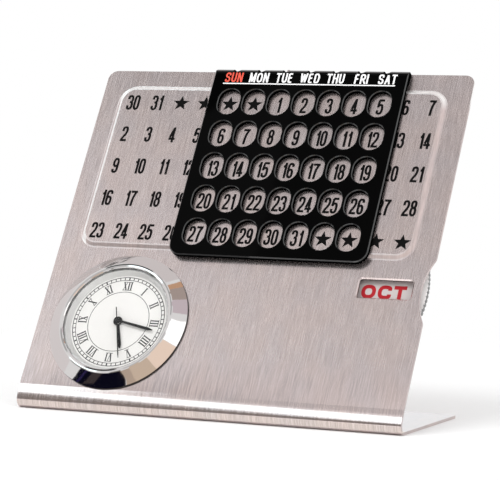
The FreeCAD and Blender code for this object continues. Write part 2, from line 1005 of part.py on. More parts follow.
def make_rear_plate():
    """The rear plate with its side wall, screw posts and the opening for the cell."""
    plate = disc(plate_radius, rear_plate_back, rear_plate_front)
    wall = ring(plate_radius, plate_radius - plate_wall, rear_plate_front, plate_back)
    posts = [disc(post_radius, rear_plate_front, plate_back, place) for place in post_places]
    setting_hole = arbor_holes(
        [setting_place], setting_arbor_radius, rear_plate_back, rear_plate_front
    )
    pivots = [
        disc(
            arbor_radius + running_clearance,
            rear_plate_front - pivot_depth,
            rear_plate_front + overrun,
            place,
        )
        for place in (Vector(0, 0, 0), third_place, idler_place, rotor_place)
    ]
    cell_hole = disc(
        cell_radius + cell_clearance,
        rear_plate_back - overrun,
        rear_plate_front + overrun,
        cell_place,
    )
    screw_holes = [
        disc(screw_radius, rear_plate_back - overrun, plate_back + overrun, place)
        for place in post_places
    ]
    body = plate.fuse([wall] + posts)
    return body.cut(setting_hole + pivots + [cell_hole] + screw_holes).removeSplitter()


def make_screws():
    """Three small screws that hold the plates together."""
    screws = []
    for place in post_places:
        head_back = rear_plate_back - screw_head_height
        head = disc(screw_head_radius, head_back, rear_plate_back, place)
        shank = disc(screw_radius, rear_plate_back, plate_back + pivot_depth, place)
        slot = block(
            place.x - screw_head_radius,
            place.x + screw_head_radius,
            place.y - screw_radius / 4,
            place.y + screw_radius / 4,
            head_back - overrun,
            head_back + screw_head_height / 2,
        )
        screws.append(head.fuse(shank).cut(slot).removeSplitter())
    return Part.makeCompound(screws)


# Wheels


def make_cannon_pinion():
    """The minute tube with its pinion; the centre wheel grips it by friction."""
    back = centre_front - wheel_thickness - wheel_gap / 2
    tube = disc(cannon_tube_radius, back, minute_hand_back + hand_thickness)
    leaves = pinion(cannon_teeth, cannon_module, setting_front, 0.0)
    bore = disc(arbor_radius + running_clearance, back - overrun, bezel_height)
    return tube.fuse(leaves).cut(bore).removeSplitter()


def make_setting_wheel():
    """The wheel between the minute and hour tubes, on the arbor that the knob turns."""
    phase = meshing_phase(cannon_teeth, 0.0, motion_direction, setting_teeth)
    plate = wheel(setting_teeth, cannon_module, setting_front, phase)
    leaves = pinion(setting_pinion_teeth, hour_module, hour_front, 0.0)
    arbor = disc(setting_arbor_radius, knob_front - knob_height / 2, hour_front)
    both = plate.fuse([leaves, arbor]).removeSplitter()
    both.translate(setting_place)
    return both


def make_hour_wheel():
    """The hour wheel and its tube, which turns round the minute tube."""
    phase = meshing_phase(setting_pinion_teeth, 0.0, motion_direction + half_turn, hour_teeth)
    plate = wheel(hour_teeth, hour_module, hour_front, phase)
    tube = disc(hour_tube_radius, hour_front - wheel_thickness, hour_hand_back + hand_thickness)
    bore = disc(
        cannon_tube_radius + running_clearance, hour_front - wheel_thickness - overrun, bezel_height
    )
    return plate.fuse(tube).cut(bore).removeSplitter()


def make_centre_wheel():
    """The wheel that turns once an hour and carries the minute tube by friction."""
    phase = meshing_phase(third_pinion_teeth, 0.0, third_direction + half_turn, centre_teeth)
    plate = wheel(centre_teeth, centre_module, centre_front, phase)
    back = centre_front - wheel_thickness
    return plate.cut(disc(cannon_tube_radius + running_clearance, back - overrun, overrun))


def make_third_wheel():
    """The reduction wheel between the seconds pinion and the centre wheel."""
    phase = meshing_phase(seconds_pinion_teeth, 0.0, third_direction, third_teeth)
    plate = wheel(third_teeth, third_module, third_front, phase)
    leaves = pinion(third_pinion_teeth, centre_module, centre_front, 0.0)
    arbor = disc(arbor_radius, rear_plate_front - pivot_depth / 2, plate_back + pivot_depth / 2)
    both = plate.fuse([leaves, arbor]).removeSplitter()
    both.translate(third_place)
    return both


def make_seconds_wheel():
    """The wheel that turns once a minute, on the long arbor of the second hand."""
    phase = meshing_phase(idler_pinion_teeth, 0.0, idler_direction + half_turn, seconds_teeth)
    plate = wheel(seconds_teeth, seconds_module, seconds_front, phase)
    leaves = pinion(seconds_pinion_teeth, third_module, third_front, 0.0)
    arbor = disc(
        arbor_radius, rear_plate_front - pivot_depth / 2, second_hand_back + hand_thickness
    )
    return plate.fuse([leaves, arbor]).removeSplitter()


def make_idler_wheel():
    """The wheel between the rotor and the seconds wheel."""
    turn_back = rotor_direction + half_turn
    phase = meshing_phase(rotor_teeth, 0.0, turn_back, idler_teeth)
    plate = wheel(idler_teeth, idler_module, idler_front, phase)
    leaves = pinion(idler_pinion_teeth, seconds_module, seconds_front, 0.0)
    arbor = disc(arbor_radius, rear_plate_front - pivot_depth / 2, plate_back + pivot_depth / 2)
    both = plate.fuse([leaves, arbor]).removeSplitter()
    both.translate(idler_place)
    return both


magnet_front = centre_front
magnet_back = magnet_front - magnet_height


def make_rotor_pinion():
    """The rotor's plastic arbor and pinion."""
    leaves = pinion(rotor_teeth, idler_module, idler_front, 0.0)
    arbor = disc(arbor_radius, rear_plate_front - pivot_depth / 2, plate_back + pivot_depth / 2)
    both = leaves.fuse(arbor).removeSplitter()
    both.translate(rotor_place)
    return both


def make_rotor_magnet():
    """The round magnet on the rotor's arbor."""
    return ring(magnet_radius, arbor_radius, magnet_back, magnet_front, rotor_place)


# Motor, circuit and cell

stator_front = (magnet_front + magnet_back + stator_thickness) / 2
stator_back = stator_front - stator_thickness
coil_level = stator_back - core_thickness / 2


def make_stator():
    """The iron yoke: a ring round the rotor with two legs down to the coil's core."""
    ring_radius = magnet_radius + magnet_gap + stator_ring_width
    bar_top = rotor_place.y
    bar_foot = bar_top - stator_leg_drop
    core_foot = -coil_distance - core_width / 2
    eye = disc(ring_radius, stator_back, stator_front, rotor_place)
    left_bar = block(
        core_left,
        rotor_place.x,
        bar_foot - stator_bar_width / 2,
        bar_foot + stator_bar_width / 2,
        stator_back,
        stator_front,
    )
    left_leg = block(
        core_left,
        core_left + stator_bar_width,
        core_foot,
        bar_foot,
        stator_back,
        stator_front,
    )
    right_leg = block(
        core_right - stator_bar_width,
        core_right,
        core_foot,
        bar_top,
        stator_back,
        stator_front,
    )
    eye_hole = disc(
        magnet_radius + magnet_gap, stator_back - overrun, stator_front + overrun, rotor_place
    )
    yoke = eye.fuse([left_bar, left_leg, right_leg])
    return yoke.cut(eye_hole).removeSplitter()


def make_coil_core():
    """The flat iron core under the stator's two feet."""
    return block(
        core_left,
        core_right,
        -coil_distance - core_width / 2,
        -coil_distance + core_width / 2,
        stator_back - core_thickness,
        stator_back,
    )


def make_coil():
    """The winding round the core, wound in a flattened oval."""
    core_gap = core_thickness / 4
    winding = Part.makeCylinder(
        coil_radius,
        coil_right - coil_left,
        Vector(coil_left, -coil_distance, coil_level),
        Vector(1, 0, 0),
    )
    slot = block(
        coil_left - overrun,
        coil_right + overrun,
        -coil_distance - core_width / 2 - core_gap,
        -coil_distance + core_width / 2 + core_gap,
        stator_back - core_thickness - core_gap,
        stator_back + core_gap,
    )
    return winding.cut(slot)


def make_board():
    """The circuit board behind the main plate."""
    board = block(
        board_left, board_radius, board_foot, board_top, plate_back - board_thickness, plate_back
    )
    return board.common(disc(board_radius, plate_back - board_thickness, plate_back))


def make_chip():
    """The small block over the integrated circuit."""
    front = plate_back - board_thickness
    return block(
        chip_left, chip_left + chip_side, chip_foot, chip_foot + chip_side, front - chip_height, front
    )


def make_crystal():
    """The quartz crystal in its round metal can."""
    level = plate_back - board_thickness - crystal_radius
    return Part.makeCylinder(
        crystal_radius, crystal_length, Vector(crystal_left, crystal_up, level), Vector(1, 0, 0)
    )


def make_cell():
    """The button cell with its stepped negative face."""
    cell = turned(
        (
            (0.0, cell_back),
            (cell_radius, cell_back),
            (cell_radius, cell_front - cell_rim_height),
            (cell_radius - cell_rim_inset, cell_front - cell_rim_height),
            (cell_radius - cell_rim_inset, cell_front),
            (0.0, cell_front),
        )
    )
    cell.translate(cell_place)
    return cell


def make_contact():
    """The contact strip under the cell, which runs over to the board side."""
    strip = block(
        -contact_width, contact_reach, -contact_width / 2, contact_width / 2, cell_front, plate_back
    )
    strip.translate(cell_place)
    return strip


# Hands


def hand(length, width, tail, hub_radius, bore_radius, back, turn):
    """A baton hand, a little wider towards its blunt tip, this many degrees clockwise from twelve."""
    front = back + hand_thickness
    half = width / 2
    root = half * hand_root_share
    point = half * hand_point_share
    corners = [
        Vector(-root, -tail, back),
        Vector(root, -tail, back),
        Vector(root, hub_radius, back),
        Vector(half, length * hand_wide_share, back),
        Vector(point, length, back),
        Vector(-point, length, back),
        Vector(-half, length * hand_wide_share, back),
        Vector(-root, hub_radius, back),
    ]
    blade = raised(Part.makePolygon(corners + corners[:1]), hand_thickness)
    hub = disc(hub_radius, back, front)
    bore = disc(bore_radius, back - overrun, front + overrun)
    whole = blade.fuse(hub).cut(bore).removeSplitter()
    whole.rotate(Vector(0, 0, 0), Vector(0, 0, 1), -turn)
    return whole


def make_hour_hand():
    """The short hand, pressed on the hour tube."""
    return hand(
        hour_hand_length,
        hour_hand_width,
        0.0,
        hour_hub_radius,
        hour_tube_radius,
        hour_hand_back,
        hour_hand_turn,
    )


def make_minute_hand():
    """The long hand, pressed on the minute tube."""
    return hand(
        minute_hand_length,
        minute_hand_width,
        0.0,
        minute_hub_radius,
        cannon_tube_radius,
        minute_hand_back,
        minute_hand_turn,
    )


def make_second_hand():
    """The thin hand with a tail and a small cap over the end of its arbor."""
    pointer = hand(
        second_hand_length,
        second_hand_width,
        second_tail_length,
        second_hub_radius,
        arbor_radius,
        second_hand_back,
        second_hand_turn,
    )
    front = second_hand_back + hand_thickness
    cap = disc(second_cap_radius, front, front + second_cap_height)
    return pointer.fuse(cap).removeSplitter()


# Placing and writing the pieces

disc_centre = Vector(disc_across, disc_up, 0)
clock_centre = Vector(clock_across, clock_up, 0)
panel_frame = Vector(0, 0, 0)

pieces = (
    ("stand_panel", make_stand, panel_frame),
    ("weekday_slider", make_slider, panel_frame),
    ("month_disc", make_month_disc, disc_centre),
    ("disc_stud", make_stud, disc_centre),
    ("disc_washer", make_disc_washer, disc_centre),
    ("disc_spring_washer", make_disc_spring, disc_centre),
    ("disc_nut", make_nut, disc_centre),
    ("clock_bezel", make_bezel, clock_centre),
    ("clock_lens", make_lens, clock_centre),
    ("reflector_ring", make_reflector, clock_centre),
    ("clock_dial", make_dial, clock_centre),
    ("clock_case", make_case, clock_centre),
    ("clock_grip_ring", make_grip_ring, clock_centre),
    ("clock_back_lid", make_lid, clock_centre),
    ("battery_hatch", make_hatch, clock_centre),
    ("setting_knob", make_knob, clock_centre),
    ("hour_hand", make_hour_hand, clock_centre),
    ("minute_hand", make_minute_hand, clock_centre),
    ("second_hand", make_second_hand, clock_centre),
    ("movement_holder", make_holder, clock_centre),
    ("main_plate", make_main_plate, clock_centre),
    ("rear_plate", make_rear_plate, clock_centre),
    ("plate_screws", make_screws, clock_centre),
    ("cannon_pinion", make_cannon_pinion, clock_centre),
    ("setting_wheel", make_setting_wheel, clock_centre),
    ("hour_wheel", make_hour_wheel, clock_centre),
    ("centre_wheel", make_centre_wheel, clock_centre),
    ("third_wheel", make_third_wheel, clock_centre),
    ("seconds_wheel", make_seconds_wheel, clock_centre),
    ("idler_wheel", make_idler_wheel, clock_centre),
    ("rotor_pinion", make_rotor_pinion, clock_centre),
    ("rotor_magnet", make_rotor_magnet, clock_centre),
    ("stator", make_stator, clock_centre),
    ("coil_core", make_coil_core, clock_centre),
    ("coil", make_coil, clock_centre),
    ("circuit_board", make_board, clock_centre),
    ("circuit_chip", make_chip, clock_centre),
    ("quartz_crystal", make_crystal, clock_centre),
    ("button_cell", make_cell, clock_centre),
    ("cell_contact", make_contact, clock_centre),
)


def standing():
    """The turn and shift that put the base's underside on the ground, with its middle at the origin."""
    turn = FreeCAD.Rotation(Vector(1, 0, 0), 90.0 - lean_angle)
    base_middle = (base_start + base_end) / 2
    return FreeCAD.Placement(turn.multVec(base_middle) * -1, turn)


def main():
    """Builds each piece, stands it up and writes it to its own file."""
    os.makedirs("parts", exist_ok=True)
    upright = standing().toMatrix()
    for name, make, centre in pieces:
        piece = make()
        piece.translate(centre)
        solid_piece = piece.transformed(upright, copy=True)
        solid_piece.exportStep("parts/" + name + ".step")
        print(name, len(solid_piece.Solids), round(solid_piece.Volume, 2), solid_piece.isValid())


main()
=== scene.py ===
# %% [markdown]
# A perpetual desk calendar in brushed steel
#
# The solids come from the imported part, so this lesson is about what a solid lacks: ink, grain, gloss and
# light. Every length is in metres in the part's own frame, apart from drawn lettering, which is laid out in
# millimetres on the leaning panel and then carried over.

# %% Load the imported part
import math
import bmesh
import bpy
from mathutils import Matrix, Vector


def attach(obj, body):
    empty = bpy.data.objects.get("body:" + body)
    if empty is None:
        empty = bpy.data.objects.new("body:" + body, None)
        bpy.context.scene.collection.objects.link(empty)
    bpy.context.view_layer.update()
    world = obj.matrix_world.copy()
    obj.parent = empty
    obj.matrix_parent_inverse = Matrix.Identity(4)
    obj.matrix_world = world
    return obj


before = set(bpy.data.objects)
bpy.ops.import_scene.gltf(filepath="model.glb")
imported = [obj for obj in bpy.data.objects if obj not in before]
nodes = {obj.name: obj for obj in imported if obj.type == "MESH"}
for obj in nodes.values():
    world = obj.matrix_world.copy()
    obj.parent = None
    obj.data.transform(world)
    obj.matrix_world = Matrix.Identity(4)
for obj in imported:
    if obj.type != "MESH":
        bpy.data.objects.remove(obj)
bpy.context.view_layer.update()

# %% [markdown]
# The panel leans back by 31 degrees. Print is easier to lay out flat, with X across the panel, Y up it and Z
# out of its face, so one matrix turns such a point into the part's frame. The alternative, turning each
# object by hand, would repeat the same angle in a dozen places.

# %% The leaning panel as a drawing board
MILLIMETRE = 0.001
LEAN = math.radians(31.0)
BOARD_START = Vector((0.0, -26.886, 8.330))
PANEL_HEIGHT = 126.7
board = Matrix.Translation(BOARD_START) @ Matrix.Rotation(math.pi / 2 - LEAN, 4, "X")


def on_board(x, y, z):
    """A point of the drawing board, given in millimetres, in the part's frame in metres."""
    return (board @ Vector((x, y, z))) * MILLIMETRE


BOARD_FACES = board.to_3x3() @ Vector((0.0, 0.0, 1.0))
print("the board's top middle lies at", [round(v, 4) for v in on_board(0, PANEL_HEIGHT, 0)])

# %% [markdown]
# The camera stands where the photographer stood: right of the middle, a little above the table, with a long
# lens. The place and the roll were solved from the grid of date holes, so they are plain numbers here.

# %% Camera
CAMERA_PLACE = Vector((0.33763, -0.76872, 0.10391))
CAMERA_LOOKS_AT = Vector((0.019124, -0.036081, 0.061454))
CAMERA_ROLL = math.radians(1.1235)
CAMERA_LENS = 177.15

camera_data = bpy.data.cameras.new("camera")
camera_data.lens = CAMERA_LENS
camera_data.sensor_width = 36.0
camera = bpy.data.objects.new("camera", camera_data)
bpy.context.scene.collection.objects.link(camera)
bpy.context.scene.camera = camera
bpy.context.scene.view_settings.view_transform = "Standard"
aim = (CAMERA_LOOKS_AT - CAMERA_PLACE).to_track_quat("-Z", "Y").to_matrix().to_4x4()
camera.matrix_world = Matrix.Translation(CAMERA_PLACE) @ aim @ Matrix.Rotation(CAMERA_ROLL, 4, "Z")
print("camera", round((CAMERA_PLACE - CAMERA_LOOKS_AT).length, 3), "m from what it looks at")

# %% [markdown]
# A finish is a small graph of nodes. Written link by link it is hard to read, so a class wraps one socket and
# lets Python's operators add the Math nodes. Every other node comes from one method, which takes the node's
# type, its settings and what goes into its sockets.

# %% Sockets as values
class Value:
    """One output socket, on which arithmetic adds Math nodes."""

    def __init__(self, finish, socket):
        self.finish = finish
        self.socket = socket

    def maths(self, operation, first, second):
        return self.finish.node("ShaderNodeMath", {"operation": operation}, {0: first, 1: second})

    def __add__(self, other):
        return self.maths("ADD", self, other)

    def __radd__(self, other):
        return self.maths("ADD", other, self)

    def __mul__(self, other):
        return self.maths("MULTIPLY", self, other)

    def __rmul__(self, other):
        return self.maths("MULTIPLY", other, self)

    def __pow__(self, other):
        return self.maths("POWER", self, other)


class Finish:
    """A material, or the world's light, that is built from nodes, one call at a time."""

    def __init__(self, name, owner=None):
        self.material = owner or bpy.data.materials.new(name)
        self.material.use_nodes = True
        self.tree = self.material.node_tree
        self.tree.nodes.clear()

    def node(self, kind, settings=None, inputs=None, output=0):
        """Any node: its type, its settings, and a value or a link for each socket that is named."""
        made = self.tree.nodes.new(kind)
        for key, setting in (settings or {}).items():
            setattr(made, key, setting)
        for key, given in (inputs or {}).items():
            if isinstance(given, Value):
                self.tree.links.new(given.socket, made.inputs[key])
            else:
                made.inputs[key].default_value = given
        return Value(self, made.outputs[output]) if made.outputs else made

    def blend(self, share, first, second, how="MIX"):
        """A colour between two, or another blend of them, by a share from 0 to 1."""
        settings = {"data_type": "RGBA", "blend_type": how}
        return self.node("ShaderNodeMix", settings, {0: share, 6: first, 7: second}, 2)

    def here(self):
        """Where a point lies on the part, in metres."""
        return self.node("ShaderNodeTexCoord", output="Object")

    def noise(self, scale, detail=2.0):
        """Soft random blotches, with a size of one over the scale in each direction, from 0 to 1."""
        inputs = {0: self.here(), 1: scale}
        stretched = self.node("ShaderNodeVectorMath", {"operation": "MULTIPLY"}, inputs)
        inputs = {"Vector": stretched, "Scale": 1.0, "Detail": detail}
        return self.node("ShaderNodeTexNoise", None, inputs)

    def spread(self, mask, low, high):
        """A mask with its range from low to high stretched to the range from 0 to 1."""
        inputs = {"Value": mask, "From Min": low, "From Max": high}
        return self.node("ShaderNodeMapRange", None, inputs)

    def slope(self):
        """How level a surface is with the panel: 1 on its faces, a half on steep bevels, 0 on walls."""
        normal = self.node("ShaderNodeNewGeometry", output="Normal")
        inputs = {0: normal, 1: BOARD_FACES}
        facing = self.node("ShaderNodeVectorMath", {"operation": "DOT_PRODUCT"}, inputs, 1)
        return facing * facing

    def reach(self, point):
        """How far a point on the part lies from a fixed point, in metres."""
        inputs = {0: self.here(), 1: point}
        return self.node("ShaderNodeVectorMath", {"operation": "DISTANCE"}, inputs, 1)

    def along(self, axis):
        """A point's distance along X, Y or Z of the part, in metres."""
        return self.node("ShaderNodeSeparateXYZ", None, {0: self.here()}, "XYZ".index(axis))

    def bump(self, height, depth):
        """A normal that tilts with a height map of the given depth in metres."""
        inputs = {"Height": height, "Distance": depth, "Strength": 1.0}
        return self.node("ShaderNodeBump", None, inputs)

    def surface(self, inputs):
        """The finished material, with these values or links on its shader."""
        shader = self.node("ShaderNodeBsdfPrincipled", None, inputs)
        self.node("ShaderNodeOutputMaterial", None, {"Surface": shader})
        return self.material


def colour(red, green, blue):
    """A colour with full cover, for a node's socket."""
    return (red, green, blue, 1.0)


def grey(level):
    """A grey with full cover."""
    return colour(level, level, level)


print("sockets can now be added, multiplied and mixed")

# %% [markdown]
# The stand is stainless steel brushed along its length. Brushing leaves fine lines that all run up the
# panel, so the noise is stretched: very fine across X and long in the other two directions, which suits the
# bent foot too. The lines change colour, roughness and height together, as real scratches do. Handled steel
# also drifts between a pinkish and a bluish tint in patches as large as a fingertip.
#
# The sheet isn't equally glossy everywhere. The bend is polished by the tool that folds it, and the walls of
# the pressed pad are scoured dull. The pad's top wall and a line along its left are painted pale, a painted
# highlight, and the cut walls of the month window are painted nearly black, a painted shade. Masks by level,
# by side and by slope say where each begins.

# %% Brushed steel
WINDOW_MIDDLE = on_board(54.5, 43.2, 0.0)
WINDOW_REACH = (0.0106, 0.0104)
BEND_FADES = (0.009, 0.020)
LONG_LINES, BROAD_LINES = (3600.0, 150.0, 150.0), (1500.0, 60.0, 60.0)
LINE_RANGE = (0.30, 0.70)
TINT_PATCHES = (90.0, 70.0, 70.0)
PATCH_RANGE = (0.35, 0.65)
PAD_STARTS = (0.0520, 0.0535)
PAD_TOP_WALL = (0.1050, 0.1085)
PAD_LEFT_LINE = ((-0.0625, -0.0621), (-0.0600, -0.0605))
SHALLOW_WALL = (0.975, 0.955)
SHEER_WALL = (0.36, 0.16)
# The next two colours are a pale painted highlight for the pad's top wall and left line, and a near black
# painted shade for the window's cut walls.
PAINTED_HIGHLIGHT = colour(0.97, 0.955, 0.945)
PAINTED_SHADE = grey(0.004)


def brush_lines(steel):
    """Fine scratches with a few broader ones among them, from 0 to 1."""
    return steel.noise(LONG_LINES, 1.0) * 0.85 + steel.noise(BROAD_LINES, 1.0) * 0.15


def brushed_steel(name, pinkish, bluish, contrast, rough):
    """Steel with brush lines that run up the panel, pressed pad walls, a painted highlight on the pad's top
    wall and left line, and window walls painted dark as painted shade.
    """
    steel = Finish(name)
    lines = brush_lines(steel)
    tone = steel.spread(lines, *LINE_RANGE)
    patches = steel.spread(steel.noise(TINT_PATCHES, 1.0), *PATCH_RANGE)
    shade = steel.blend(tone, grey(1.0 - contrast), grey(1.0 + contrast))
    brushed = steel.blend(1.0, steel.blend(patches, pinkish, bluish), shade, "MULTIPLY")
    slope, level, side = steel.slope(), steel.along("Z"), steel.along("X")
    pressed = steel.spread(slope, *SHALLOW_WALL) * steel.spread(level, *PAD_STARTS)
    left_line = steel.spread(side, *PAD_LEFT_LINE[0]) * steel.spread(side, *PAD_LEFT_LINE[1])
    # painted highlight: the pad's top wall and a line along its left are painted pale
    pale = pressed * (steel.spread(level, *PAD_TOP_WALL) + left_line)
    # painted shade: the cut walls of the month window are painted nearly black
    near_window = steel.spread(steel.reach(WINDOW_MIDDLE), *WINDOW_REACH)
    painted_window_shade = steel.spread(slope, *SHEER_WALL) * near_window
    panel = steel.spread(level, *BEND_FADES)
    return steel.surface(
        {
            "Base Color": steel.blend(painted_window_shade, steel.blend(pale, brushed, PAINTED_HIGHLIGHT), PAINTED_SHADE),
            "Metallic": 0.9,
            "Roughness": rough + 0.15 * panel + 0.05 * tone + 0.25 * pressed,
            "Normal": steel.bump(lines, 0.000007),
        }
    )


stand_finish = brushed_steel(
    "brushed_stainless", colour(0.612, 0.512, 0.494), colour(0.585, 0.505, 0.500), 0.13, 0.085
)
print("made", stand_finish.name)

# %% [markdown]
# Small turned or stamped metal parts share one finish maker: a tone that wanders a little, and a roughness
# that wanders with it. The reflector ring is plastic with a thin metal coat, so it is only half metallic and
# more blotchy. The bezel has a maker of its own: it is polished like a mirror, and the wall where it stands
# on the panel is dull and painted nearly black, a painted shade.

# %% Plain metals
CLOCK_MIDDLE = (-39.0, 25.25)
BEZEL_FOOT_MIDDLE = 0.35
BEZEL_RIM = (0.0250, 0.0252)
BEZEL_WALL = (0.3, 0.1)
FINE_GRAIN = (900.0, 900.0, 900.0)


def metal(name, tint, rough, wander=0.08, metallic=1.0):
    """Metal whose colour and gloss vary a little from place to place."""
    piece = Finish(name)
    grain = piece.noise(FINE_GRAIN, 3.0)
    cloud = piece.noise((110.0, 110.0, 110.0))
    shade = tuple(part * (1.0 - wander) for part in tint[:3]) + (1.0,)
    return piece.surface(
        {
            "Base Color": piece.blend(cloud, shade, tint),
            "Metallic": metallic,
            "Roughness": rough + wander * grain,
            "Normal": piece.bump(grain, 0.000004),
        }
    )


def polished(name, tint):
    """Chrome like a mirror, with a dull wall where it meets the panel, painted dark as painted shade."""
    piece = Finish(name)
    grain = piece.noise(FINE_GRAIN, 3.0)
    # painted shade: the wall at the bezel's foot is painted nearly black and made dull
    foot = on_board(*CLOCK_MIDDLE, BEZEL_FOOT_MIDDLE)
    wall = piece.spread(piece.slope(), *BEZEL_WALL) * piece.spread(piece.reach(foot), *BEZEL_RIM)
    return piece.surface(
        {
            "Base Color": piece.blend(wall, tint, grey(0.03)),
            "Metallic": 1.0,
            "Roughness": 0.03 + 0.02 * grain + 0.4 * wall,
            "Normal": piece.bump(grain, 0.000001),
        }
    )


bright_steel = metal("bright_steel", colour(0.62, 0.61, 0.60), 0.22)
spring_steel = metal("spring_steel", colour(0.56, 0.55, 0.53), 0.26)
core_steel = metal("core_steel", colour(0.42, 0.41, 0.40), 0.34)
cell_steel = metal("cell_steel", colour(0.64, 0.64, 0.65), 0.18)
bezel_chrome = polished("bezel_chrome", colour(0.66, 0.64, 0.635))
silver_plastic = metal("silver_plastic", colour(0.80, 0.80, 0.80), 0.24, 0.20, 0.55)
gear_brass = metal("gear_brass", colour(0.74, 0.53, 0.22), 0.24)
coil_copper = metal("coil_copper", colour(0.62, 0.24, 0.08), 0.22)
magnet_grey = metal("magnet_grey", colour(0.13, 0.13, 0.14), 0.42)
print("nine metals")

# %% [markdown]
# Moulded plastic is never one flat colour. A faint grain in the roughness and a skin like orange peel in the
# height make it read as plastic under a lamp. The matte case, the rubber grip, the dial, the gears and the
# inks are one recipe with other numbers.
#
# Two pieces have makers of their own. The weekday slider is deep black lacquer: on a real one only the
# bevels catch the light, so the shine is a clear coat that is full on the bevels and faint on the faces, and
# the bevels are also painted a little lighter, a painted highlight. The month disc is light grey, painted
# whiter along its rim as painted light where the rim catches light, and darker on its toothed edge.

# %% Plastics, lacquer and inks
DISC_MIDDLE = (31.0, 43.2)
DISC_FACE = -2.7
DISC_RIM = (0.0340, 0.0350)
DISC_EDGE = (0.5, 0.3)
BEVEL_STARTS, BEVEL_ENDS = (0.25, 0.40), (0.90, 0.70)
FLAT_FACE = (0.90, 0.95)
PALER_TIMES, PALER_PLUS = 1.12, 0.002


def plastic(name, tint, rough, peel=0.000003, peel_scale=700.0, gloss=0.5):
    """Moulded plastic with a fine skin."""
    piece = Finish(name)
    skin = piece.noise((peel_scale, peel_scale, peel_scale), 2.0)
    cloud = piece.noise((60.0, 60.0, 60.0))
    pale = tuple(min(1.0, part * PALER_TIMES + PALER_PLUS) for part in tint[:3]) + (1.0,)
    return piece.surface(
        {
            "Base Color": piece.blend(cloud, tint, pale),
            "Roughness": rough + 0.08 * skin,
            "Specular IOR Level": gloss,
            "Normal": piece.bump(skin, peel),
        }
    )


def lacquer(name):
    """Deep black lacquer that shines only along its bevels, which are painted a little lighter as a painted
    highlight.
    """
    piece = Finish(name)
    skin = piece.noise((420.0, 420.0, 420.0), 2.0)
    slope = piece.slope()
    bevel = piece.spread(slope, *BEVEL_STARTS) * piece.spread(slope, *BEVEL_ENDS)
    face = piece.spread(slope, *FLAT_FACE)
    return piece.surface(
        {
            # painted highlight: the bevels are painted a little lighter than the faces
            "Base Color": piece.blend(bevel, grey(0.0012), grey(0.035)),
            "Roughness": 0.06 + 0.08 * skin,
            "IOR": 1.0,
            "Coat Weight": bevel + face * 0.06,
            "Normal": piece.bump(skin, 0.0000012),
        }
    )


def rimmed_disc(name):
    """Light grey plastic, painted whiter towards the rim as painted light, with a darker edge, for the month
    disc.
    """
    piece = Finish(name)
    skin = piece.noise((700.0, 700.0, 700.0), 2.0)
    # painted light: the rim is painted whiter, where it catches the light
    rim = piece.spread(piece.reach(on_board(*DISC_MIDDLE, DISC_FACE)), *DISC_RIM)
    face = piece.blend(rim, colour(0.56, 0.50, 0.49), colour(0.92, 0.90, 0.89))
    edge = piece.spread(piece.slope(), *DISC_EDGE)
    return piece.surface(
        {
            "Base Color": piece.blend(edge, face, grey(0.20)),
            "Roughness": 0.38 + 0.08 * skin,
            "Normal": piece.bump(skin, 0.000003),
        }
    )


gloss_black = lacquer("gloss_black")
disc_grey = rimmed_disc("disc_grey")
white_nylon = plastic("white_nylon", colour(0.80, 0.80, 0.77), 0.45)
dial_white = plastic("dial_white", colour(0.80, 0.795, 0.785), 0.55, 0.000002, 2600.0)
case_black = plastic("case_black", colour(0.018, 0.018, 0.020), 0.46, 0.000014, 2400.0)
grip_rubber = plastic("grip_rubber", colour(0.030, 0.030, 0.032), 0.72, 0.00001, 1500.0, 0.3)
hand_black = plastic("hand_black", colour(0.003, 0.003, 0.0035), 0.14, gloss=0.1)
holder_white = plastic("holder_white", colour(0.74, 0.74, 0.72), 0.42)
movement_grey = plastic("movement_grey", colour(0.30, 0.32, 0.34), 0.40)
gear_white = plastic("gear_white", colour(0.82, 0.82, 0.78), 0.34)
board_green = plastic("board_green", colour(0.03, 0.16, 0.07), 0.30, 0.000008, 500.0)
chip_black = plastic("chip_black", colour(0.015, 0.015, 0.015), 0.50)
ink_black = plastic("ink_black", colour(0.003, 0.0028, 0.0028), 0.50, gloss=0.04)
ink_white = plastic("ink_white", colour(0.86, 0.86, 0.86), 0.40, gloss=0.3)
ink_red = plastic("ink_red", colour(0.42, 0.014, 0.022), 0.45, gloss=0.1)
ink_orange = plastic("ink_orange", colour(0.72, 0.075, 0.040), 0.40, gloss=0.3)
ink_grey = plastic("ink_grey", colour(0.030, 0.030, 0.033), 0.50, gloss=0.1)
print("plastics and inks are ready")

# %% [markdown]
# The clock's glass lets the dial through with hardly a tint. Light that has to bend through real glass
# reaches a dial slowly and leaves noise, so the pane mixes clear passage with a mirror, by how steeply the
# pane is seen.

# %% Clock glass
def clear_glass():
    """A thin pane: clear from the front, more like a mirror when it is seen from the side."""
    pane = Finish("clear_glass")
    smear = pane.noise((90.0, 90.0, 90.0))
    facing = pane.node("ShaderNodeLayerWeight", None, {"Blend": 0.5}, 1)
    mirror = 0.02 + 0.5 * facing**4
    clear = pane.node("ShaderNodeBsdfTransparent", None, {"Color": colour(0.985, 0.982, 0.978)})
    shine = pane.node(
        "ShaderNodeBsdfPrincipled",
        None,
        {"Base Color": colour(0.9, 0.92, 0.92), "Metallic": 1.0, "Roughness": 0.03 + 0.03 * smear},
    )
    both = pane.node("ShaderNodeMixShader", None, {0: mirror, 1: clear, 2: shine})
    pane.node("ShaderNodeOutputMaterial", None, {"Surface": both})
    return pane.material


glass = clear_glass()
print("made", glass.name)

# %% [markdown]
# Each solid now gets its finish. The table goes by node name, and the record's material slot has the same
# meaning, so a reader can compare the two.

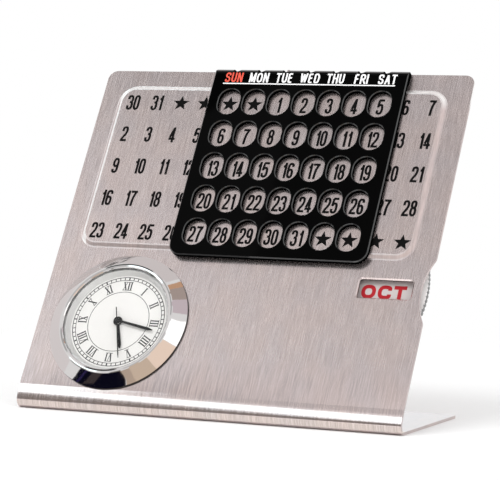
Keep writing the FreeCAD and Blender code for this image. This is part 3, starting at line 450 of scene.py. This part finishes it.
# %% Finish the solids
FINISH_OF_NODE = {
    "stand_panel": stand_finish,
    "weekday_slider": gloss_black,
    "month_disc": disc_grey,
    "disc_stud": bright_steel,
    "disc_washer": white_nylon,
    "disc_spring_washer": spring_steel,
    "disc_nut": bright_steel,
    "clock_bezel": bezel_chrome,
    "clock_lens": glass,
    "reflector_ring": silver_plastic,
    "clock_dial": dial_white,
    "clock_case": case_black,
    "clock_grip_ring": grip_rubber,
    "clock_back_lid": case_black,
    "battery_hatch": case_black,
    "setting_knob": case_black,
    "hour_hand": hand_black,
    "minute_hand": hand_black,
    "second_hand": hand_black,
    "movement_holder": holder_white,
    "main_plate": movement_grey,
    "rear_plate": movement_grey,
    "plate_screws": bright_steel,
    "cannon_pinion": gear_brass,
    "setting_wheel": gear_white,
    "hour_wheel": gear_white,
    "centre_wheel": gear_white,
    "third_wheel": gear_white,
    "seconds_wheel": gear_brass,
    "idler_wheel": gear_white,
    "rotor_pinion": gear_white,
    "rotor_magnet": magnet_grey,
    "stator": core_steel,
    "coil_core": core_steel,
    "coil": coil_copper,
    "circuit_board": board_green,
    "circuit_chip": chip_black,
    "quartz_crystal": bright_steel,
    "button_cell": cell_steel,
    "cell_contact": spring_steel,
}
for node_name, solid in nodes.items():
    solid.data.materials.clear()
    solid.data.materials.append(FINISH_OF_NODE[node_name])
print("finished", len(FINISH_OF_NODE), "solids")

# %% [markdown]
# Dates, weekdays and months are drawn with a pen of even width, which gives a plain bold sans letter. A glyph
# is a few strokes on a square from 0 to 1. Each stroke's corners are rounded with short curves. A font would
# be quicker, but thickening its outlines makes them cross.

# %% Strokes
CURVE_STEPS = 6
SAME_PLACE = 0.001
SHARPEST_MITRE = 0.5


def rounded_path(corners, bend, closed):
    """The stroke's middle line: straight runs joined by curves that start a bend away from each corner."""
    count = len(corners)
    path = []
    for index, corner in enumerate(corners):
        if not closed and index in (0, count - 1):
            path.append(corner)
            continue
        before = corners[index - 1]
        after = corners[(index + 1) % count]
        arms = []
        for other in (before, after):
            arm = other - corner
            arms.append(corner + arm.normalized() * min(bend, arm.length / 2))
        for step in range(CURVE_STEPS + 1):
            share = step / CURVE_STEPS
            path.append(
                arms[0] * (1 - share) ** 2 + corner * 2 * share * (1 - share) + arms[1] * share**2
            )
    kept = [path[0]]
    for point in path[1:]:
        if (point - kept[-1]).length > SAME_PLACE:
            kept.append(point)
    return kept


def stroke_edges(path, width, closed):
    """The two edges of a pen line of this width along a path."""
    count = len(path)
    lefts, rights = [], []
    for index, point in enumerate(path):
        before = path[index - 1] if closed or index else point
        after = path[(index + 1) % count] if closed or index < count - 1 else point
        ways = [way.normalized() for way in (point - before, after - point) if way.length > 0]
        way = sum(ways, Vector((0, 0))).normalized()
        across = Vector((-way.y, way.x))
        mitre = max(SHARPEST_MITRE, way.dot(ways[0]))
        reach = across * (width / 2 / mitre)
        lefts.append(point + reach)
        rights.append(point - reach)
    return lefts, rights


def add_ribbon(mesh, lefts, rights, placed, low, high, closed):
    """A solid strip of ink between two edges, from a low to a high level, with its ends shut or joined."""
    rows = []
    for left, right in zip(lefts, rights):
        corners = ((left, high), (right, high), (right, low), (left, low))
        rows.append([mesh.verts.new(placed(p.x, p.y, z)) for p, z in corners])
    pairs = list(zip(rows, rows[1:] + rows[:1])) if closed else list(zip(rows, rows[1:]))
    for this, following in pairs:
        for side in range(4):
            beside = (side + 1) % 4
            mesh.faces.new((this[side], this[beside], following[beside], following[side]))
    if not closed:
        mesh.faces.new(rows[0][::-1])
        mesh.faces.new(rows[-1])


def add_plate(mesh, outline, placed, low, high):
    """A flat filled shape of ink with its side wall."""
    tops = [mesh.verts.new(placed(x, y, high)) for x, y in outline]
    feet = [mesh.verts.new(placed(x, y, low)) for x, y in outline]
    mesh.faces.new(tops)
    mesh.faces.new(feet[::-1])
    count = len(outline)
    for index in range(count):
        beside = (index + 1) % count
        mesh.faces.new((tops[index], feet[index], feet[beside], tops[beside]))


def finished_print(name, mesh, finish, body):
    """Turns drawn ink into a piece that rides on a body and wears the given finish."""
    bmesh.ops.recalc_face_normals(mesh, faces=mesh.faces)
    data = bpy.data.meshes.new(name)
    mesh.to_mesh(data)
    mesh.free()
    data.materials.append(finish)
    piece = bpy.data.objects.new(name, data)
    bpy.context.scene.collection.objects.link(piece)
    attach(piece, body)
    print(name, len(data.polygons), "faces on", body)


# %% [markdown]
# The alphabet. A glyph has a width as a share of the usual one, and its strokes: a bar is straight, a curve
# has rounded corners, and a loop is a curve that closes. A corner below 0 or above 1 lies at the letter's own
# edge. Only the characters that a calendar needs are here.

# %% Glyphs
def bar(*corners):
    """An open stroke with sharp corners."""
    return (False, 0.0, corners)


def curve(*corners):
    """An open stroke with round corners."""
    return (False, 1.0, corners)


def loop(*corners):
    """A closed stroke with round corners."""
    return (True, 1.0, corners)


GLYPHS = {
    "0": (0.78, [loop((0, 0), (1, 0), (1, 1), (0, 1))]),
    "1": (0.45, [bar((1, -0.1), (1, 1.1)), curve((0, 0.78), (0.7, 0.8), (1, 1))]),
    "2": (0.8, [
        curve((0, 0.7), (0, 1), (1, 1), (1, 0.56), (0.1, 0.16), (0.02, 0)),
        bar((-0.14, 0), (1.1, 0)),
    ]),
    "3": (0.8, [
        curve((0, 0.76), (0, 1), (0.96, 1), (0.96, 0.53), (0.36, 0.53)),
        curve((0.36, 0.53), (1, 0.53), (1, 0), (0, 0), (0, 0.26)),
    ]),
    "4": (0.78, [
        bar((0.72, -0.1), (0.72, 1.1)),
        bar((0.66, 1), (0, 0.3)),
        bar((-0.1, 0.2), (1.1, 0.2)),
    ]),
    "5": (0.85, [
        bar((1.1, 1), (0.1, 1)),
        bar((0.18, 1), (0.06, 0.46)),
        curve((0.08, 0.5), (0.2, 0.64), (1, 0.66), (1, 0), (0, 0), (0, 0.25)),
    ]),
    "6": (0.8, [
        loop((0, 0.56), (1, 0.56), (1, 0), (0, 0)),
        curve((1, 0.78), (1, 1), (0, 1), (0, 0.28)),
    ]),
    "7": (0.8, [
        bar((-0.1, 1), (1.1, 1)),
        curve((0.98, 1), (0.4, 0.55), (0.3, -0.1)),
    ]),
    "8": (0.8, [
        loop((0.05, 0.54), (0.95, 0.54), (0.95, 1), (0.05, 1)),
        loop((0, 0), (1, 0), (1, 0.54), (0, 0.54)),
    ]),
    "9": (0.8, [
        loop((0, 1), (1, 1), (1, 0.44), (0, 0.44)),
        curve((0, 0.22), (0, 0), (1, 0), (1, 0.72)),
    ]),
    "A": (1.05, [
        bar((0, -0.1), (0.5, 1)),
        bar((0.5, 1), (1, -0.1)),
        bar((0.18, 0.3), (0.82, 0.3)),
    ]),
    "B": (0.95, [
        bar((0, 0), (0, 1)),
        curve((0, 1), (0.95, 1), (0.95, 0.53), (0, 0.53)),
        curve((0, 0.53), (1, 0.53), (1, 0), (0, 0)),
    ]),
    "C": (1.0, [curve((1, 0.68), (1, 1), (0, 1), (0, 0), (1, 0), (1, 0.32))]),
    "D": (1.0, [bar((0, 0), (0, 1)), curve((0, 1), (1, 1), (1, 0), (0, 0))]),
    "E": (0.82, [
        bar((0, 0), (0, 1)),
        bar((0, 1), (1, 1)),
        bar((0, 0.52), (0.92, 0.52)),
        bar((0, 0), (1, 0)),
    ]),
    "F": (0.78, [bar((0, -0.06), (0, 1)), bar((0, 1), (1, 1)), bar((0, 0.5), (0.9, 0.5))]),
    "G": (1.0, [
        curve((1, 0.7), (1, 1), (0, 1), (0, 0), (1, 0), (1, 0.44)),
        bar((0.52, 0.44), (1.08, 0.44)),
    ]),
    "H": (0.95, [
        bar((0, -0.06), (0, 1.06)),
        bar((1, -0.06), (1, 1.06)),
        bar((0, 0.52), (1, 0.52)),
    ]),
    "I": (0.02, [bar((0.5, -0.06), (0.5, 1.06))]),
    "J": (0.78, [curve((1, 1.06), (1, 0), (0, 0), (0, 0.3))]),
    "L": (0.75, [bar((0, 1.06), (0, 0)), bar((0, 0), (1, 0))]),
    "M": (1.25, [
        bar((0, -0.06), (0, 1.06)),
        bar((0.04, 1), (0.5, 0)),
        bar((0.5, 0), (0.96, 1)),
        bar((1, -0.06), (1, 1.06)),
    ]),
    "N": (0.98, [
        bar((0, -0.06), (0, 1.06)),
        bar((0.03, 1), (0.97, 0)),
        bar((1, -0.06), (1, 1.06)),
    ]),
    "O": (1.1, [loop((0, 0), (1, 0), (1, 1), (0, 1))]),
    "P": (0.92, [bar((0, -0.06), (0, 1)), curve((0, 1), (1, 1), (1, 0.44), (0, 0.44))]),
    "R": (0.95, [
        bar((0, -0.06), (0, 1)),
        curve((0, 1), (1, 1), (1, 0.48), (0, 0.48)),
        bar((0.52, 0.46), (1.02, -0.04)),
    ]),
    "S": (0.95, [curve((1, 0.73), (1, 1), (0, 1), (0, 0.56), (1, 0.48), (1, 0), (0, 0), (0, 0.27))]),
    "T": (0.9, [bar((-0.05, 1), (1.05, 1)), bar((0.5, -0.06), (0.5, 1))]),
    "U": (0.95, [curve((0, 1.06), (0, 0), (1, 0), (1, 1.06))]),
    "V": (1.0, [bar((0, 1.06), (0.5, 0)), bar((0.5, 0), (1, 1.06))]),
    "W": (1.5, [
        bar((0, 1.06), (0.25, 0)),
        bar((0.25, 0), (0.5, 1)),
        bar((0.5, 1), (0.75, 0)),
        bar((0.75, 0), (1, 1.06)),
    ]),
    "Y": (1.0, [
        bar((0, 1.06), (0.5, 0.45)),
        bar((1, 1.06), (0.5, 0.45)),
        bar((0.5, 0.5), (0.5, -0.06)),
    ]),
}
LAYER = 0.0015
BEND_OF_HEIGHT = 0.24
STAR_POINTS = 5
STAR_WAIST = 0.42


def spot_in(share, span, pen):
    """A place in a letter's span, or beyond it at the letter's edge."""
    edge = pen / 2 * ((share > 1) - (share < 0))
    return min(max(share, 0), 1) * span + edge


def write(mesh, word, placed, height, width, pen, gap, low, high):
    """Draws a word, centred on the origin of its place, with its strokes a hair apart in level."""
    widths = [GLYPHS[letter][0] * width + pen for letter in word]
    start = -(sum(widths) + gap * (len(word) - 1)) / 2
    for letter, letter_width in zip(word, widths):
        for layer, (closed, bend, corners) in enumerate(GLYPHS[letter][1]):
            span = Vector((letter_width - pen, height - pen))
            middle = Vector((start + pen / 2, -span.y / 2))
            points = [
                Vector((spot_in(x, span.x, pen), spot_in(y, span.y, pen))) + middle for x, y in corners
            ]
            path = rounded_path(points, bend * max(span.x, height * BEND_OF_HEIGHT), closed)
            lefts, rights = stroke_edges(path, pen, closed)
            add_ribbon(mesh, lefts, rights, placed, low, high + LAYER * layer, closed)
        start += letter_width + gap


def star_outline(radius, x, y):
    """A star whose first point is at the top."""
    points = []
    for index in range(2 * STAR_POINTS):
        angle = math.radians(90 + 180 / STAR_POINTS * index)
        reach = radius if index % 2 == 0 else radius * STAR_WAIST
        points.append((x + reach * math.cos(angle), y + reach * math.sin(angle)))
    return points


print("glyphs", len(GLYPHS))

# %% [markdown]
# The pad carries thirteen columns and five rows. A number is the column's place plus seven for each row, so
# the sliding frame can start any month on any weekday. What would come before the first or after the last day
# is a star. Where a month starts late in the week, its last two days would need a sixth row, so the first row
# starts with them too. A letter's measures are its height, its usual width, the pen and the gap to the next,
# in millimetres.

# %% Dates on the pad
COLUMNS, ROWS = 13, 5
COLUMN_PITCH, ROW_PITCH = 9.5, 13.15
GRID_MIDDLE = (0.3, 86.65)
PAD_FACE = 0.95
INK = 0.03
DATE_LETTER = (6.2, 1.95, 0.87, 0.2)
DATE_DROP = 0.12
STAR_RADIUS = 3.2
DAYS_OF_WEEK = 7
BLANKS_BEFORE_FIRST = 6
LAST_DAYS = (30, 31)


def date_label(column, row):
    """The number at a place of the grid, or None where a star goes."""
    if row == 0 and column < len(LAST_DAYS):
        return LAST_DAYS[column]
    number = column + 1 - BLANKS_BEFORE_FIRST + DAYS_OF_WEEK * row
    return number if 1 <= number <= LAST_DAYS[-1] else None


dates = bmesh.new()
for row in range(ROWS):
    for column in range(COLUMNS):
        across = GRID_MIDDLE[0] + (column - (COLUMNS - 1) / 2) * COLUMN_PITCH
        up = GRID_MIDDLE[1] + ((ROWS - 1) / 2 - row) * ROW_PITCH - DATE_DROP
        number = date_label(column, row)
        if number is None:
            star = star_outline(STAR_RADIUS, across, up)
            add_plate(dates, star, on_board, PAD_FACE, PAD_FACE + INK)
            continue

        def here(x, y, z, across=across, up=up):
            return on_board(across + x, up + y, z)

        write(dates, str(number), here, *DATE_LETTER, PAD_FACE, PAD_FACE + INK)
finished_print("date_numbers", dates, ink_black, "stand")

# %% [markdown]
# The slider's head names the weekdays, with Sunday in red, over a thin white rule. This print moves with the
# slider, so it rides on that body and not on the stand.

# %% Weekdays on the slider
SLIDER_FACE = 2.85
NAMES_MIDDLE = 10.45
RULE_MIDDLE = 10.2
WEEKDAYS = ("SUN", "MON", "TUE", "WED", "THU", "FRI", "SAT")
WEEKDAY_UP = 122.9
WEEKDAY_PITCH = 9.70
WEEKDAY_LETTER = (4.0, 1.42, 0.62, 0.38)
RULE_UP, RULE_WIDTH = 120.35, 0.45
RULE_PAST_COLUMN = 4.1
MIDDLE_DAY = 3

red_names = bmesh.new()
white_names = bmesh.new()
for index, name in enumerate(WEEKDAYS):
    across = NAMES_MIDDLE + (index - MIDDLE_DAY) * WEEKDAY_PITCH

    def here(x, y, z, across=across):
        return on_board(across + x, WEEKDAY_UP + y, z)

    page = white_names if index else red_names
    write(page, name, here, *WEEKDAY_LETTER, SLIDER_FACE, SLIDER_FACE + INK)
rule_half = MIDDLE_DAY * COLUMN_PITCH + RULE_PAST_COLUMN
rule = [
    (RULE_MIDDLE + side * rule_half, RULE_UP + above * RULE_WIDTH / 2)
    for side, above in ((-1, -1), (1, -1), (1, 1), (-1, 1))
]
add_plate(white_names, rule, on_board, SLIDER_FACE, SLIDER_FACE + INK)
finished_print("sunday_name", red_names, ink_orange, "slider")
finished_print("weekday_names", white_names, ink_white, "slider")

# %% [markdown]
# The month disc has its twelve names set like spokes, so that each one reads level when it comes round to the
# window. The names start at the window's side, on the right.

# %% Months on the disc
MONTHS = ("OCT", "NOV", "DEC", "JAN", "FEB", "MAR", "APR", "MAY", "JUN", "JUL", "AUG", "SEP")
MONTH_STEP = 30
MONTH_REACH = 22.3
MONTH_LETTER = (5.2, 3.45, 1.35, 0.74)

months = bmesh.new()
for index, name in enumerate(MONTHS):
    turn = Matrix.Rotation(math.radians(MONTH_STEP * index), 3, "Z")

    def here(x, y, z, turn=turn):
        spot = turn @ Vector((x + MONTH_REACH, y, z))
        return on_board(DISC_MIDDLE[0] + spot.x, DISC_MIDDLE[1] + spot.y, spot.z)

    write(months, name, here, *MONTH_LETTER, DISC_FACE, DISC_FACE + INK)
finished_print("month_names", months, ink_red, "disc")

# %% [markdown]
# The dial is printed in fine grey-black: a minute track like a railway, Roman numerals whose feet point to
# the centre, and a thin ring inside them. Thick and thin strokes give the numerals their look, so each one is
# a short list of bars rather than a pen line.

# %% Dial print
DIAL_FACE = 0.6
DIAL_INK = 0.02
TRACK_OUTER, TRACK_INNER, RING_RADIUS = 17.0, 15.9, 11.35
NUMERAL_TOP, NUMERAL_FOOT = 15.2, 12.1
THICK, THIN, SERIF = 0.45, 0.20, 0.20
MARK, HOUR_MARK = 0.28, 0.45
MINUTE_STEP, HOUR_STEP = 6, 30
NUMERAL_INSET, SERIF_INSET = 0.28, 0.05
CIRCLE_STEPS = 120


def on_dial(turn_degrees):
    """A place on the dial that is turned clockwise from the top."""
    turn = Matrix.Rotation(-math.radians(turn_degrees), 3, "Z")

    def here(x, y, z):
        spot = turn @ Vector((x, y, z))
        return on_board(CLOCK_MIDDLE[0] + spot.x, CLOCK_MIDDLE[1] + spot.y, spot.z)

    return here


def add_circle(mesh, radius, pen, high):
    """A thin printed circle round the dial's middle."""
    path = []
    for step in range(CIRCLE_STEPS):
        angle = 2 * math.pi * step / CIRCLE_STEPS
        path.append(Vector((math.cos(angle), math.sin(angle))) * radius)
    lefts, rights = stroke_edges(path, pen, True)
    add_ribbon(mesh, lefts, rights, on_dial(0), DIAL_FACE, high, True)


def add_bar(mesh, start, end, pen, placed, high):
    """A straight printed bar."""
    lefts, rights = stroke_edges([Vector(start), Vector(end)], pen, False)
    add_ribbon(mesh, lefts, rights, placed, DIAL_FACE, high, False)


STEP_OF_STROKE = {"I": 0.95, "V": 1.75, "X": 1.75}
NUMERALS = ("XII", "I", "II", "III", "IIII", "V", "VI", "VII", "VIII", "IX", "X", "XI")
print_top = DIAL_FACE + DIAL_INK
dial_print = bmesh.new()
for circle, pen in ((TRACK_OUTER, 0.25), (TRACK_INNER, 0.20), (RING_RADIUS, 0.20)):
    add_circle(dial_print, circle, pen, print_top)
for minute in range(360 // MINUTE_STEP):
    pen = MARK if minute % (HOUR_STEP // MINUTE_STEP) else HOUR_MARK
    ends = ((0, TRACK_INNER), (0, TRACK_OUTER))
    add_bar(dial_print, *ends, pen, on_dial(MINUTE_STEP * minute), print_top + LAYER)
for hour, numeral in enumerate(NUMERALS):
    placed = on_dial(HOUR_STEP * hour)
    total = sum(STEP_OF_STROKE[stroke] for stroke in numeral)
    left = -total / 2
    for stroke in numeral:
        step = STEP_OF_STROKE[stroke]
        middle = left + step / 2
        near, far = left + NUMERAL_INSET, left + step - NUMERAL_INSET
        low_end, top_end = NUMERAL_FOOT, NUMERAL_TOP
        if stroke == "I":
            add_bar(dial_print, (middle, low_end), (middle, top_end), THICK, placed, print_top)
        elif stroke == "V":
            add_bar(dial_print, (near, top_end), (middle, low_end), THICK, placed, print_top)
            add_bar(dial_print, (far, top_end), (middle, low_end), THIN, placed, print_top + LAYER)
        else:
            add_bar(dial_print, (near, top_end), (far, low_end), THICK, placed, print_top)
            add_bar(dial_print, (far, top_end), (near, low_end), THIN, placed, print_top + LAYER)
        left += step
    for level in (NUMERAL_FOOT, NUMERAL_TOP):
        ends = ((-total / 2 + SERIF_INSET, level), (total / 2 - SERIF_INSET, level))
        add_bar(dial_print, *ends, SERIF, placed, print_top + 2 * LAYER)
finished_print("dial_print", dial_print, ink_grey, "stand")

# %% [markdown]
# The floor is a pale sheet. Near the calendar it takes light and shadow as paper does, and further out it
# fades into the plain white behind, so no horizon shows. The room is as white as a page to the camera, to
# mirrors and through glass, and lights the part a little less than that, so that pale colours don't wash out.

# %% Floor and white surroundings
FLOOR_SIZE = 6.0
FLOOR_FADES = (0.10, 0.30)
ROOM_LIGHT = 0.75


def pale_floor():
    """Paper near the object, and the same white as the background further out."""
    sheet = Finish("pale_floor")
    far = sheet.spread(sheet.reach((0.0, 0.0, 0.0)), *FLOOR_FADES)
    grain = sheet.noise((260.0, 260.0, 260.0))
    paper = sheet.node(
        "ShaderNodeBsdfPrincipled",
        None,
        {
            "Base Color": sheet.blend(grain, colour(0.93, 0.93, 0.93), colour(0.95, 0.95, 0.95)),
            "Roughness": 0.9,
            "Specular IOR Level": 0.1,
        },
    )
    glow = sheet.node("ShaderNodeEmission", None, {"Color": colour(1, 1, 1), "Strength": 1.0})
    both = sheet.node("ShaderNodeMixShader", None, {0: far, 1: paper, 2: glow})
    sheet.node("ShaderNodeOutputMaterial", None, {"Surface": both})
    return sheet.material


floor_mesh = bmesh.new()
bmesh.ops.create_grid(floor_mesh, x_segments=2, y_segments=2, size=FLOOR_SIZE / 2)
floor_data = bpy.data.meshes.new("floor")
floor_mesh.to_mesh(floor_data)
floor_mesh.free()
floor_data.materials.append(pale_floor())
floor = bpy.data.objects.new("floor", floor_data)
bpy.context.scene.collection.objects.link(floor)

room = Finish("white_room", bpy.data.worlds.new("white_room"))
bpy.context.scene.world = room.material
seen = 0.0
for ray_kind in ("Is Camera Ray", "Is Glossy Ray", "Is Transmission Ray"):
    ray = room.node("ShaderNodeLightPath", output=ray_kind)
    seen = room.node("ShaderNodeMath", {"operation": "MAXIMUM"}, {0: seen, 1: ray})
strength = ROOM_LIGHT + (1 - ROOM_LIGHT) * seen
background = room.node("ShaderNodeBackground", None, {"Color": colour(1, 1, 1), "Strength": strength})
room.node("ShaderNodeOutputWorld", None, {"Surface": background})
print("white room, floor", FLOOR_SIZE, "m wide")

# %% [markdown]
# Soft lamps light the print, the plastic and the floor. Metal is another matter: it shows what it mirrors, so
# the lamps are hidden from mirror rays, and plain cards, lighter or darker than the white room, stand in
# their place. A photographer works in the same way, with lamps for the colour and cards for the shine.

# %% Lamps
MIDDLE = Vector((0.0, 0.0, 0.05))


def placed_to_face(thing, bearing, height, distance):
    """Puts a thing at a bearing, in degrees left of the front, and a height angle, facing the middle."""
    flat = math.cos(math.radians(height))
    way = Vector(
        (
            -math.sin(math.radians(bearing)) * flat,
            -math.cos(math.radians(bearing)) * flat,
            math.sin(math.radians(height)),
        )
    )
    facing = way.to_track_quat("Z", "Y").to_matrix().to_4x4()
    thing.matrix_world = Matrix.Translation(MIDDLE + way * distance) @ facing


def soft_lamp(name, bearing, height, distance, size, watts):
    """A square lamp that faces the calendar and is hidden from mirror rays."""
    light = bpy.data.lights.new(name, "AREA")
    light.size = size
    light.energy = watts
    lamp = bpy.data.objects.new(name, light)
    bpy.context.scene.collection.objects.link(lamp)
    placed_to_face(lamp, bearing, height, distance)
    lamp.visible_glossy = False


soft_lamp("top_lamp", 35.0, 55.0, 1.3, 0.8, 6.6)
soft_lamp("right_lamp", -60.0, 28.0, 1.3, 0.7, 4.4)
soft_lamp("back_lamp", 155.0, 42.0, 1.3, 0.9, 2.0)
print("three lamps")

# %% [markdown]
# Metal looks like what stands round it, so the room is dressed with cards that only mirror rays meet. Each
# one is an even glow. The panel looks up, at two high flags that take the glare off its steel. Below them a
# middle flag, a bright strip with a patch beside it and a low flag make the bend's white band with its dark
# line. The left and right cards light the walls of the pad, and the foot card stands behind, where the level
# foot looks. The bezel turns through every direction, so it mirrors a ring of cards: lavender at the left,
# sand above, then rust, brown, mauve, bright, peach and clay down the right.
#
# Cards on the table lie where steep metal looks down. The dark sheet with its brown and violet stripes makes
# the bezel's dark foot, with clay beside it. The rim sheet lights the edge over the month window, and the tan
# sheet the lower edge of the bend.
#
# A row gives a card's width, height, tint and strength. Then come its bearing, its height angle and its
# distance, or, for a card on the table, its place.

# %% Cards for the metal to mirror
def mirror_card(name, width, height, tint, strength):
    """A card that shows only in reflections."""
    card_mesh = bmesh.new()
    corners = ((-1, -1), (1, -1), (1, 1), (-1, 1))
    verts = [card_mesh.verts.new((x * width / 2, y * height / 2, 0)) for x, y in corners]
    card_mesh.faces.new(verts)
    data = bpy.data.meshes.new(name)
    card_mesh.to_mesh(data)
    card_mesh.free()
    paint = Finish(name)
    glow = paint.node("ShaderNodeEmission", None, {"Color": tint, "Strength": strength})
    paint.node("ShaderNodeOutputMaterial", None, {"Surface": glow})
    data.materials.append(paint.material)
    card = bpy.data.objects.new(name, data)
    bpy.context.scene.collection.objects.link(card)
    card.visible_camera = False
    card.visible_diffuse = False
    card.visible_transmission = False
    card.visible_shadow = False
    return card


CARDS = {
    "bright_strip": (1.5, 0.165, colour(0.87, 1.0, 1.03), 2.8, (30.0, 31.8, 1.2)),
    "bright_patch": (0.15, 0.12, colour(0.87, 1.0, 1.03), 2.4, (41.8, 38.4, 1.2)),
    "high_flag_left": (0.66, 0.36, colour(1.0, 1.0, 1.0), 0.08, (72.0, 60.3, 1.3)),
    "high_flag_right": (0.68, 0.36, colour(1.0, 1.0, 1.0), 0.54, (15.0, 60.3, 1.3)),
    "middle_flag": (0.90, 0.20, colour(1.0, 1.0, 1.0), 0.70, (18.0, 44.0, 1.25)),
    "low_flag": (1.2, 0.64, colour(1.0, 0.95, 0.88), 0.26, (34.0, 13.0, 1.22)),
    "left_card": (0.14, 0.73, colour(0.85, 1.0, 1.03), 3.2, (78.0, 55.0, 1.2)),
    "right_card": (0.35, 0.30, colour(1.0, 1.0, 1.0), 1.4, (-80.0, 36.5, 1.2)),
    "lavender_card": (1.0, 0.50, colour(0.92, 0.87, 0.87), 1.0, (92.0, 11.0, 0.9)),
    "sand_card": (0.60, 0.90, colour(0.84, 0.785, 0.783), 1.0, (150.0, 66.0, 1.2)),
    "rust_card": (0.30, 0.07, colour(0.72, 0.44, 0.28), 1.0, (-102.0, 79.4, 1.19)),
    "brown_card": (0.22, 0.22, colour(0.52, 0.43, 0.39), 1.0, (-80.0, 73.0, 1.2)),
    "mauve_card": (0.28, 0.28, colour(0.76, 0.66, 0.70), 1.0, (-63.0, 61.0, 1.22)),
    "bright_card": (0.37, 0.44, colour(1.0, 1.0, 1.0), 1.8, (-44.0, 38.0, 1.2)),
    "peach_card": (0.42, 0.40, colour(1.15, 0.92, 0.76), 1.0, (-28.0, 18.0, 1.22)),
    "foot_card": (0.50, 0.20, colour(1.03, 1.08, 1.10), 1.0, (156.0, 5.0, 1.2)),
    "clay_card": (0.46, 0.24, colour(0.80, 0.64, 0.50), 1.0, (-10.0, 3.0, 1.2)),
}
SHEET_LEVEL, STRIPE_LEVEL = 0.001, 0.002
TABLE_CARDS = {
    "dark_sheet": (0.155, 0.145, colour(0.004, 0.004, 0.012), 1.0, (-0.1165, -0.1455)),
    "brown_stripe": (0.022, 0.13, colour(0.060, 0.048, 0.050), 1.0, (-0.088, -0.146)),
    "violet_stripe": (0.014, 0.13, colour(0.030, 0.022, 0.090), 1.0, (-0.128, -0.147)),
    "clay_sheet": (0.46, 0.98, colour(0.62, 0.49, 0.39), 1.0, (0.16, -0.708)),
    "clay_patch": (0.045, 0.11, colour(0.62, 0.49, 0.39), 1.0, (-0.0155, -0.163)),
    "rim_sheet": (0.06, 0.05, colour(1.0, 1.0, 1.0), 2.2, (0.045, -0.085)),
    "tan_sheet": (0.34, 0.036, colour(0.985, 1.0, 0.95), 1.19, (-0.03, -0.042)),
}
for name, (width, height, tint, strength, spot) in CARDS.items():
    placed_to_face(mirror_card(name, width, height, tint, strength), *spot)
for name, (width, depth, tint, strength, (across, away)) in TABLE_CARDS.items():
    sheet = mirror_card(name, width, depth, tint, strength)
    level = STRIPE_LEVEL if name.endswith("stripe") else SHEET_LEVEL
    sheet.matrix_world = Matrix.Translation((across, away, level))
print("cards", len(CARDS) + len(TABLE_CARDS))
